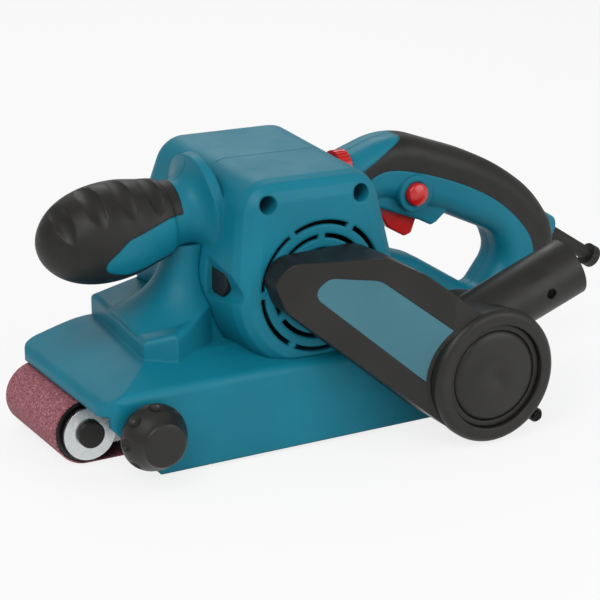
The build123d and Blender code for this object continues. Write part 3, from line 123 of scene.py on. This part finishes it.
# Rear of the belt hood, as in the solids, for a liner inside its wall; the liner closes the slits that the
# rounded outer edges leave
HOOD_LEFT = -82.0 * MM
HOOD_ROOF = 64.0 * MM
HOOD_CREASE = 55.0 * MM
HOOD_SHOULDER = -46.0 * MM
HOOD_EDGE_R = 12.0 * MM      # of the roof's rear edge and of the heel
HOOD_EDGE_START = 72         # where the liner's roof meets that edge, in degrees above level
HOOD_CORNER_R = 14.0 * MM
HEEL_TOP = 24.3 * MM         # where the rear wall starts to curve under
HEEL_TURN = -69.6            # how far it curves, in degrees
LINER_FRONT = 149.5 * MM     # just behind the dust port
LINER_SKIN = 0.08 * MM       # of the hood's wall that stays outside the liner
LINER_BACK = 2.5 * MM        # how far inside the hood's surface the liner ends

# Painted shade: a round black plug in the hollow front flank of the housing, whose black stands in for the
# shade of a deeper recess
SHADE_PLUG_AT = (-46.0 * MM, 105.0 * MM)  # across and up
SHADE_PLUG_R = 11.0 * MM
SHADE_PLUG_FACE = -15.4 * MM        # stands about 2.5 mm proud of the middle of the hollow
SHADE_PLUG_BACK = -8.0 * MM

ARC_STEPS = 12
SHARP_EDGE = radians(28.0)   # faces that meet at more than this keep a sharp edge


# Nodes and patterns

def colour(code):
    """An sRGB hex value as linear RGBA."""
    channels = [int(code[start:start + 2], 16) / 255 for start in (1, 3, 5)]
    linear = [c / 12.92 if c <= 0.04045 else ((c + 0.055) / 1.055) ** 2.4 for c in channels]
    return (*linear, 1.0)


def add(tree, kind, settings=None, **sockets):
    """Adds a node. A socket's value is a constant or another node's output."""
    node = tree.nodes.new(kind)
    for name, value in (settings or {}).items():
        setattr(node, name, value)
    for name, value in sockets.items():
        socket = node.inputs[name.replace("_", " ")]
        if isinstance(value, bpy.types.NodeSocket):
            tree.links.new(value, socket)
        else:
            socket.default_value = value
    return node


def surface(name, **constants):
    """A new material with one Principled shader; returns material, tree, shader and object coordinates."""
    material = bpy.data.materials.new(name)
    material.use_nodes = True
    tree = material.node_tree
    tree.nodes.clear()
    shader = add(tree, "ShaderNodeBsdfPrincipled", **constants)
    output = add(tree, "ShaderNodeOutputMaterial")
    tree.links.new(shader.outputs["BSDF"], output.inputs["Surface"])
    place = add(tree, "ShaderNodeTexCoord").outputs["Object"]
    return material, tree, shader, place


def per_metre(size_mm):
    """The texture scale that gives a pattern of this size."""
    return 1000.0 / size_mm


def shades(tree, factor, *stops):
    """A colour ramp from (position, hex) stops."""
    ramp = add(tree, "ShaderNodeValToRGB", Fac=factor)
    elements = ramp.color_ramp.elements
    while len(elements) < len(stops):
        elements.new(0.5)
    for element, (position, code) in zip(elements, stops):
        element.position = position
        element.color = colour(code)
    return ramp.outputs["Color"]


def mottle(tree, shader, place, size_mm, detail, tones):
    """Base colour that drifts between a darker and a lighter tone."""
    noise = add(tree, "ShaderNodeTexNoise", Vector=place, Scale=per_metre(size_mm), Detail=detail)
    dark, light = tones
    tone = shades(tree, noise.outputs["Fac"], (NOISE_LOW, dark), (NOISE_HIGH, light))
    tree.links.new(tone, shader.inputs["Base Color"])


def grain(tree, shader, place, size_mm, depth_mm, strength, edge_mm=0.6):
    """Fine bump over the whole surface, on normals that are softened at the edges as moulded edges are."""
    noise = add(tree, "ShaderNodeTexNoise", Vector=place, Scale=per_metre(size_mm), Detail=3.0)
    soft = add(tree, "ShaderNodeBevel", {"samples": EDGE_SAMPLES}, Radius=edge_mm * MM)
    bump = add(tree, "ShaderNodeBump", Height=noise.outputs["Fac"], Strength=strength,
               Distance=depth_mm * MM, Normal=soft.outputs["Normal"])
    tree.links.new(bump.outputs["Normal"], shader.inputs["Normal"])


def uneven_gloss(tree, shader, place, size_mm, smooth, rough):
    """Roughness that drifts between two values, as handling leaves it."""
    noise = add(tree, "ShaderNodeTexNoise", Vector=place, Scale=per_metre(size_mm), Detail=4.0)
    spread = add(tree, "ShaderNodeMapRange", Value=noise.outputs["Fac"], From_Min=NOISE_LOW,
                 From_Max=NOISE_HIGH, To_Min=smooth, To_Max=rough)
    tree.links.new(spread.outputs["Result"], shader.inputs["Roughness"])


# Materials

def moulded_abs():
    """Teal ABS from a spark-eroded mould: an even satin with a faint drift in tone."""
    material, tree, shader, place = surface("moulded_teal_abs", IOR=1.54, Specular_IOR_Level=0.2)
    mottle(tree, shader, place, size_mm=60, detail=3.0, tones=TEAL)
    uneven_gloss(tree, shader, place, size_mm=25, smooth=0.40, rough=0.50)
    # Real mould grain is about 0.1 mm; drawn at 0.7 mm so that it shows
    grain(tree, shader, place, size_mm=0.7, depth_mm=0.05, strength=0.25, edge_mm=2.5)
    return material


def grip_rubber():
    """Thermoplastic rubber moulded over the handles: dark, soft sheen, fine tooth."""
    material, tree, shader, place = surface("overmould_rubber", IOR=1.5, Specular_IOR_Level=0.35)
    mottle(tree, shader, place, size_mm=18, detail=4.0, tones=RUBBER)
    uneven_gloss(tree, shader, place, size_mm=12, smooth=0.42, rough=0.58)
    grain(tree, shader, place, size_mm=0.8, depth_mm=0.06, strength=0.35, edge_mm=1.0)
    return material


def black_plastic():
    """Glass-filled nylon: near black, a little brown, satin with a coarse mould grain."""
    material, tree, shader, place = surface("glass_filled_nylon", IOR=1.53, Specular_IOR_Level=0.35)
    mottle(tree, shader, place, size_mm=30, detail=4.0, tones=NYLON)
    uneven_gloss(tree, shader, place, size_mm=15, smooth=0.36, rough=0.50)
    grain(tree, shader, place, size_mm=0.9, depth_mm=0.05, strength=0.30, edge_mm=1.5)
    return material


def red_controls():
    """Polished red ABS of the controls: saturated, with a clear highlight."""
    material, tree, shader, place = surface("polished_red_abs", Base_Color=colour(RED), IOR=1.54,
                                            Coat_Weight=0.3, Coat_Roughness=0.12)
    uneven_gloss(tree, shader, place, size_mm=6, smooth=0.24, rough=0.34)
    return material


def label_film():
    """Polyester film of the label, left bare: a smooth greyed teal."""
    material, tree, shader, place = surface("polyester_label_film", IOR=1.57)
    mottle(tree, shader, place, size_mm=40, detail=2.0, tones=LABEL)
    uneven_gloss(tree, shader, place, size_mm=20, smooth=0.34, rough=0.42)
    return material


def abrasive_cloth():
    """Aluminium oxide on cloth: pink grit, dark gaps between grains, a rough matt face."""
    material, tree, shader, place = surface("aluminium_oxide_cloth", IOR=1.6)
    # Real grains are about 0.3 mm; drawn at 0.8 mm so that they show
    grains = add(tree, "ShaderNodeTexVoronoi", Vector=place, Scale=per_metre(0.8))
    speckle = add(tree, "ShaderNodeTexNoise", Vector=place, Scale=per_metre(1.3), Detail=5.0)
    tone = shades(tree, speckle.outputs["Fac"], (0.32, BELT_DARK), (0.5, BELT_PINK), (0.72, BELT_GRIT))
    tree.links.new(tone, shader.inputs["Base Color"])
    bump = add(tree, "ShaderNodeBump", {"invert": True}, Height=grains.outputs["Distance"], Strength=0.8,
               Distance=0.25 * MM)
    tree.links.new(bump.outputs["Normal"], shader.inputs["Normal"])
    uneven_gloss(tree, shader, place, size_mm=2, smooth=0.75, rough=0.95)
    return material


def zinc_steel():
    """Zinc plated steel: bright, with a faint fine grain."""
    material, tree, shader, place = surface("zinc_plated_steel", Base_Color=colour(ZINC), Metallic=1.0)
    uneven_gloss(tree, shader, place, size_mm=4, smooth=0.22, rough=0.38)
    grain(tree, shader, place, size_mm=0.6, depth_mm=0.02, strength=0.20)
    return material


def cast_aluminium():
    """Die-cast aluminium: pale grey, dull, with a slightly pitted skin."""
    material, tree, shader, place = surface("die_cast_aluminium", Metallic=1.0)
    mottle(tree, shader, place, size_mm=8, detail=5.0, tones=ALUMINIUM)
    uneven_gloss(tree, shader, place, size_mm=5, smooth=0.42, rough=0.60)
    grain(tree, shader, place, size_mm=1.2, depth_mm=0.10, strength=0.35)
    return material


def lamination_steel():
    """Stacked electrical sheet: grey, with the edges of the sheets showing across the axis."""
    material, tree, shader, place = surface("stacked_electrical_sheet", Metallic=1.0)
    # Real sheets are about 0.5 mm; drawn as bands of about 6 mm so that they show
    sheets = add(tree, "ShaderNodeTexWave", {"wave_type": "BANDS", "bands_direction": "Y"}, Vector=place,
                 Scale=per_metre(SHEET_BAND_MM) / WAVES_AT_SCALE_1)
    tone = shades(tree, sheets.outputs["Fac"], (0.2, SHEET_GAP), (0.8, SHEET_EDGE))
    tree.links.new(tone, shader.inputs["Base Color"])
    uneven_gloss(tree, shader, place, size_mm=6, smooth=0.38, rough=0.52)
    return material


def copper_wire():
    """Enamelled copper: orange brown under a clear lacquer."""
    material, tree, shader, place = surface("enamelled_copper", Metallic=1.0, Coat_Weight=0.4,
                                            Coat_Roughness=0.2)
    mottle(tree, shader, place, size_mm=1.5, detail=3.0, tones=COPPER)
    uneven_gloss(tree, shader, place, size_mm=3, smooth=0.28, rough=0.42)
    grain(tree, shader, place, size_mm=0.8, depth_mm=0.15, strength=0.5)
    return material


def dull_black(name, code, smooth, rough, tooth_mm):
    """Matt black pieces: ground rubber, pressed carbon and turned plastic differ in tooth and gloss."""
    material, tree, shader, place = surface(name, Base_Color=colour(code), IOR=1.5)
    uneven_gloss(tree, shader, place, size_mm=6, smooth=smooth, rough=rough)
    grain(tree, shader, place, size_mm=tooth_mm, depth_mm=0.05, strength=0.3)
    return material


def felt():
    """Felt faced with graphite: grey brown and fibrous."""
    material, tree, shader, place = surface("graphite_felt", IOR=1.5, Roughness=0.95, Sheen_Weight=0.3)
    mottle(tree, shader, place, size_mm=1.0, detail=6.0, tones=FELT)
    return material


def black_oxide():
    """Blackened steel of the duct's screw: dark, with a dull metal shine."""
    material, tree, shader, place = surface("black_oxide_steel", Base_Color=colour(BLACK_OXIDE), Metallic=1.0)
    uneven_gloss(tree, shader, place, size_mm=3, smooth=0.38, rough=0.52)
    return material


FINISHES = {
    "teal_plastic": moulded_abs(),
    "black_rubber": grip_rubber(),
    "black_plastic": black_plastic(),
    "red_plastic": red_controls(),
    "label_film": label_film(),
    "abrasive": abrasive_cloth(),
    "bright_steel": zinc_steel(),
    "cast_aluminium": cast_aluminium(),
    "lamination_steel": lamination_steel(),
    "copper": copper_wire(),
    "carbon": dull_black("pressed_carbon", CARBON, smooth=0.5, rough=0.7, tooth_mm=0.8),
    "pad_felt": felt(),
    "lagging_rubber": dull_black("ground_rubber", LAGGING, smooth=0.6, rough=0.8, tooth_mm=1.0),
    # the rollers' near black is partly their own colour and partly painted shade at the idler's end
    "roller_plastic": dull_black("turned_nylon_and_shade", ROLLER_AND_SHADE, smooth=0.4, rough=0.55, tooth_mm=0.8),
}


def dress_nodes():
    """Gives every CAD node the finish of its slot in the record; the duct's screw is blackened."""
    for part in frame["record"]["subparts"]:
        for slot in NODES[part["node"]].material_slots:
            slot.material = FINISHES[part["material_slot"]]
    for slot in NODES["duct_screws"].material_slots:
        slot.material = black_oxide()


# Shared by the pieces below

def in_scene(name, data):
    """A new object in the scene."""
    thing = bpy.data.objects.new(name, data)
    bpy.context.scene.collection.objects.link(thing)
    return thing


def set_inputs(modifier, values):
    """Sets a node tree's inputs by name, through their sockets' identifiers."""
    for item in modifier.node_group.interface.items_tree:
        if item.in_out == "INPUT" and item.name in values:
            modifier[item.identifier] = values[item.name]


def settled(name, holder):
    """The holder's finished shape as a plain smooth mesh; the holder and its modifiers go."""
    depsgraph = bpy.context.evaluated_depsgraph_get()
    mesh = bpy.data.meshes.new_from_object(holder.evaluated_get(depsgraph))
    bpy.data.objects.remove(holder)
    for polygon in mesh.polygons:
        polygon.use_smooth = True
    return in_scene(name, mesh)


def arc(centre, radius, start, end):
    """Points on an arc between two angles in degrees."""
    angles = [radians(start + (end - start) * step / ARC_STEPS) for step in range(ARC_STEPS + 1)]
    return [(centre[0] + radius * cos(angle), centre[1] + radius * sin(angle)) for angle in angles]


def prism(outline, place, low, high):
    """An outline made solid between two levels; place turns its points and the level into a corner."""
    body = bmesh.new()
    rows = [[body.verts.new(place(a, b, level)) for a, b in outline] for level in (low, high)]
    body.faces.new(rows[0])
    body.faces.new(rows[1])
    count = len(outline)
    for index in range(count):
        after = (index + 1) % count
        body.faces.new((rows[0][index], rows[0][after], rows[1][after], rows[1][index]))
    bmesh.ops.recalc_face_normals(body, faces=body.faces)
    mesh = bpy.data.meshes.new("prism")
    body.to_mesh(mesh)
    body.free()
    return in_scene("prism", mesh)


# Tension spring

def coil_tree():
    """Geometry Nodes for a round-wire coil along X, with its sizes as named inputs."""
    tree = bpy.data.node_groups.new("coil_spring", "GeometryNodeTree")
    sockets = tree.interface
    for name in ("Coil Radius", "Length", "Wire Radius", "Turns"):
        sockets.new_socket(name, in_out="INPUT", socket_type="NodeSocketFloat")
    sockets.new_socket("Start", in_out="INPUT", socket_type="NodeSocketVector")
    sockets.new_socket("Wire", in_out="INPUT", socket_type="NodeSocketMaterial")
    sockets.new_socket("Mesh", in_out="OUTPUT", socket_type="NodeSocketGeometry")
    given = add(tree, "NodeGroupInput").outputs
    path = add(tree, "GeometryNodeCurveSpiral", Resolution=COIL_POINTS, Rotations=given["Turns"],
               Start_Radius=given["Coil Radius"], End_Radius=given["Coil Radius"], Height=given["Length"])
    wire = add(tree, "GeometryNodeCurvePrimitiveCircle", Resolution=WIRE_POINTS, Radius=given["Wire Radius"])
    tube = add(tree, "GeometryNodeCurveToMesh", Curve=path.outputs["Curve"],
               Profile_Curve=wire.outputs["Curve"], Fill_Caps=True)
    laid = add(tree, "GeometryNodeTransform", Geometry=tube.outputs["Mesh"],
               Rotation=(0.0, radians(90), 0.0), Translation=given["Start"])
    whole = add(tree, "GeometryNodeRealizeInstances", Geometry=laid.outputs["Geometry"])
    coated = add(tree, "GeometryNodeSetMaterial", Geometry=whole.outputs["Geometry"], Material=given["Wire"])
    result = add(tree, "NodeGroupOutput")
    tree.links.new(coated.outputs["Geometry"], result.inputs["Mesh"])
    return tree


def coil_spring():
    """Draws the coil where the solids hold a plain sleeve; it rides with the idler yoke."""
    low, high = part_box("tension_spring")
    values = {
        "Coil Radius": (high[1] - low[1]) / 2 - SPRING_WIRE,
        "Length": high[0] - low[0] - 2 * SPRING_WIRE,
        "Wire Radius": SPRING_WIRE,
        "Turns": SPRING_COILS,
        "Start": (low[0] + SPRING_WIRE, (low[1] + high[1]) / 2, (low[2] + high[2]) / 2),
        "Wire": FINISHES["bright_steel"],
    }
    holder = in_scene("coil_source", bpy.data.meshes.new("coil_source"))
    maker = holder.modifiers.new("coil", "NODES")
    maker.node_group = coil_tree()
    set_inputs(maker, values)
    spring = settled("tension_coil", holder)
    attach(spring, "yoke")
    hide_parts("tension_spring")


# Palm grip

def hollow_tree():
    """Geometry Nodes that bite a ring of round section out of the grip, with its sizes as named inputs."""
    tree = bpy.data.node_groups.new("finger_hollow", "GeometryNodeTree")
    sockets = tree.interface
    sockets.new_socket("Grip", in_out="INPUT", socket_type="NodeSocketGeometry")
    for name in ("Ring Radius", "Hollow Radius"):
        sockets.new_socket(name, in_out="INPUT", socket_type="NodeSocketFloat")
    sockets.new_socket("Centre", in_out="INPUT", socket_type="NodeSocketVector")
    sockets.new_socket("Turn", in_out="INPUT", socket_type="NodeSocketRotation")
    sockets.new_socket("Rubber", in_out="INPUT", socket_type="NodeSocketMaterial")
    sockets.new_socket("Mesh", in_out="OUTPUT", socket_type="NodeSocketGeometry")
    given = add(tree, "NodeGroupInput").outputs
    path = add(tree, "GeometryNodeCurvePrimitiveCircle", Resolution=RING_POINTS, Radius=given["Ring Radius"])
    section = add(tree, "GeometryNodeCurvePrimitiveCircle", Resolution=SECTION_POINTS,
                  Radius=given["Hollow Radius"])
    ring = add(tree, "GeometryNodeCurveToMesh", Curve=path.outputs["Curve"],
               Profile_Curve=section.outputs["Curve"])
    laid = add(tree, "GeometryNodeTransform", Geometry=ring.outputs["Mesh"], Rotation=given["Turn"],
               Translation=given["Centre"])
    bitten = add(tree, "GeometryNodeMeshBoolean", {"operation": "DIFFERENCE", "solver": "EXACT"},
                 Mesh_1=given["Grip"], Mesh_2=laid.outputs["Geometry"])
    whole = add(tree, "GeometryNodeRealizeInstances", Geometry=bitten.outputs["Mesh"])
    coated = add(tree, "GeometryNodeSetMaterial", Geometry=whole.outputs["Geometry"],
                 Material=given["Rubber"])
    result = add(tree, "NodeGroupOutput")
    tree.links.new(coated.outputs["Geometry"], result.inputs["Mesh"])
    return tree


def hollow_places(skin):
    """Each hollow's ring: its centre and radius, from where a level ray meets the grip's plain right side."""
    axis = Vector((cos(GRIP_TILT), 0, sin(GRIP_TILT)))
    upright = Vector((-sin(GRIP_TILT), 0, cos(GRIP_TILT)))
    side = Vector((0, 1, 0))
    outward = upright * cos(HOLLOW_LEAN) - side * sin(HOLLOW_LEAN)
    lift = HOLLOW_R - HOLLOW_DEPTH
    places = []
    for index in range(HOLLOW_COUNT):
        foot = GRIP_TIP + axis * (HOLLOW_FIRST + HOLLOW_STEP * index)
        hit, normal = skin.ray_cast(foot + side * GRIP_REACH, -side)[:2]
        radius = (hit - foot).dot(side)
        reach = radius + lift * normal.dot(side)
        sweep = HOLLOW_SPREAD * radius + HOLLOW_R
        centre = foot + axis * (lift * normal.dot(axis)) + outward * (reach - sweep)
        places.append((centre, sweep))
    return places


def palm_grip():
    """A copy of the grip with all its finger hollows, which takes the place of the solid."""
    body = bmesh.new()
    body.from_mesh(NODES["front_grip"].data)
    bmesh.ops.remove_doubles(body, verts=body.verts, dist=GRIP_MERGE)
    places = hollow_places(BVHTree.FromBMesh(body))
    mesh = bpy.data.meshes.new("palm_grip")
    body.to_mesh(mesh)
    body.free()
    holder = in_scene("grip_source", mesh)
    tree = hollow_tree()
    for centre, sweep in places:
        values = {
            "Ring Radius": sweep,
            "Hollow Radius": HOLLOW_R,
            "Centre": centre,
            "Turn": (0.0, radians(90) - GRIP_TILT, 0.0),
            "Rubber": FINISHES["black_rubber"],
        }
        bite = holder.modifiers.new("hollow", "NODES")
        bite.node_group = tree
        set_inputs(bite, values)
    grip = settled("palm_grip", holder)
    grip.data.set_sharp_from_angle(angle=SHARP_EDGE)
    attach(grip, "machine")
    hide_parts("front_grip")


# Hood liner

def combine(first, second, operation):
    """One solid from two blocks of the hood's rear."""
    joined = first.modifiers.new("join", "BOOLEAN")
    joined.operation = operation
    joined.solver = "EXACT"
    joined.object = second
    result = settled("hood_liner", first)
    bpy.data.objects.remove(second)
    return result


def hood_rear(inset):
    """The rear end of the hood as a solid block, smaller than the hood by the inset on every side."""
    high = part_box("belt_hood")[1]
    rear = high.x
    right = high.y
    edge = HOOD_EDGE_R - inset
    corner = HOOD_CORNER_R - inset
    side = [(LINER_FRONT, HEEL_TOP - HOOD_EDGE_R), (LINER_FRONT, HOOD_ROOF - inset)]
    side += arc((rear - HOOD_EDGE_R, HOOD_ROOF - HOOD_EDGE_R), edge, HOOD_EDGE_START, 0)
    side += arc((rear - HOOD_EDGE_R, HEEL_TOP), edge, 0, HEEL_TURN)
    plan = [(0, HOOD_LEFT + inset)]
    plan += arc((rear - HOOD_CORNER_R, HOOD_LEFT + HOOD_CORNER_R), corner, -90, 0)
    plan += arc((rear - HOOD_CORNER_R, right - HOOD_CORNER_R), corner, 0, 90)
    plan += [(0, right - inset)]
    section = [
        (HOOD_LEFT + inset, 0),
        (HOOD_LEFT + inset, HOOD_CREASE - inset),
        (HOOD_SHOULDER, HOOD_ROOF - inset),
        (right - inset, HOOD_ROOF - inset),
        (right - inset, 0),
    ]
    block = prism(side, lambda x, z, y: (x, y, z), HOOD_LEFT - HOOD_CORNER_R, right + HOOD_CORNER_R)
    block = combine(block, prism(plan, lambda x, y, z: (x, y, z), -HOOD_ROOF, 2 * HOOD_ROOF), "INTERSECT")
    return combine(block, prism(section, lambda y, z, x: (x, y, z), 0, 2 * rear), "INTERSECT")


def hood_liner():
    """Lines the hood's rear wall, roof edge and corners within the wall's thickness."""
    liner = combine(hood_rear(LINER_SKIN), hood_rear(LINER_BACK), "DIFFERENCE")
    liner.name = "hood_liner"
    liner.data.materials.clear()
    liner.data.materials.append(FINISHES["teal_plastic"])
    liner.data.set_sharp_from_angle(angle=SHARP_EDGE)
    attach(liner, "machine")


# Painted shade: a black plug in the housing's hollow

def shade_plug():
    """A plain round plug, whose rim lies in the housing's wall; its black is painted shade for a deeper
    recess.
    """
    outline = []
    for start in (0, 90, 180, 270):
        outline += arc(SHADE_PLUG_AT, SHADE_PLUG_R, start, start + 90)[:-1]
    plug = settled("shade_plug", prism(outline, lambda y, z, x: (x, y, z), SHADE_PLUG_FACE, SHADE_PLUG_BACK))
    # black plastic here is painted shade, standing in for the shade of a deeper recess
    plug.data.materials.append(FINISHES["black_plastic"])
    plug.data.set_sharp_from_angle(angle=SHARP_EDGE)
    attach(plug, "machine")


# Floor, light and camera

def floor():
    """A white floor: it shows as white to the camera and keeps a soft shadow of the tool."""
    mesh = bpy.data.meshes.new("studio_floor")
    half = FLOOR_HALF
    corners = [(-half, -half, 0), (half, -half, 0), (half, half, 0), (-half, half, 0)]
    mesh.from_pydata(corners, [], [(0, 1, 2, 3)])
    sheet = in_scene("studio_floor", mesh)
    material = bpy.data.materials.new("white_paper_sweep")
    material.use_nodes = True
    tree = material.node_tree
    tree.nodes.clear()
    paper = add(tree, "ShaderNodeBsdfDiffuse", Color=PAPER)
    white = add(tree, "ShaderNodeEmission", Color=WHITE, Strength=1.0)
    path = add(tree, "ShaderNodeLightPath")
    seen = path.outputs["Is Camera Ray"]
    for ray in ("Is Glossy Ray", "Is Transmission Ray"):
        either = add(tree, "ShaderNodeMath", {"operation": "MAXIMUM"})
        tree.links.new(seen, either.inputs[0])
        tree.links.new(path.outputs[ray], either.inputs[1])
        seen = either.outputs["Value"]
    share = add(tree, "ShaderNodeMath", {"operation": "MULTIPLY"})
    tree.links.new(seen, share.inputs[0])
    share.inputs[1].default_value = PAPER_SHARE
    mix = add(tree, "ShaderNodeMixShader", Fac=share.outputs["Value"])
    tree.links.new(paper.outputs["BSDF"], mix.inputs[1])
    tree.links.new(white.outputs["Emission"], mix.inputs[2])
    output = add(tree, "ShaderNodeOutputMaterial")
    tree.links.new(mix.outputs["Shader"], output.inputs["Surface"])
    mesh.materials.append(material)


def soft_box(name, place, size, power):
    """A square studio lamp aimed at the tool."""
    lamp = bpy.data.lights.new(name, "AREA")
    lamp.size = size
    lamp.energy = power
    holder = in_scene(name, lamp)
    holder.location = place
    aim = Vector(LAMP_TARGET) - Vector(place)
    holder.rotation_euler = aim.to_track_quat("-Z", "Y").to_euler()


def studio():
    """Even white light from all round, and three soft lamps."""
    world = bpy.data.worlds.new("studio_air")
    bpy.context.scene.world = world
    world.use_nodes = True
    tree = world.node_tree
    tree.nodes.clear()
    air = add(tree, "ShaderNodeBackground", Color=WHITE, Strength=AIR_LIGHT)
    output = add(tree, "ShaderNodeOutputWorld")
    tree.links.new(air.outputs["Background"], output.inputs["Surface"])
    for name, lamp in LAMPS.items():
        soft_box(name, **lamp)
    bpy.context.scene.view_settings.view_transform = "Standard"


def camera():
    """The photograph's camera, from its place and its two angles."""
    right = Vector((cos(CAMERA_TURN), sin(CAMERA_TURN), 0))
    ahead = Vector((-sin(CAMERA_TURN), cos(CAMERA_TURN), 0))
    up = ahead * sin(CAMERA_TILT) + Vector((0, 0, cos(CAMERA_TILT)))
    back = right.cross(up)
    lens = bpy.data.cameras.new("photo_camera")
    lens.lens = CAMERA_LENS
    lens.sensor_width = CAMERA_SENSOR
    eye = in_scene("photo_camera", lens)
    axes = Matrix((right, up, back)).transposed().to_4x4()
    eye.matrix_world = Matrix.Translation(CAMERA_AT) @ axes
    bpy.context.scene.camera = eye


dress_nodes()
coil_spring()
palm_grip()
hood_liner()
shade_plug()
floor()
studio()
camera()
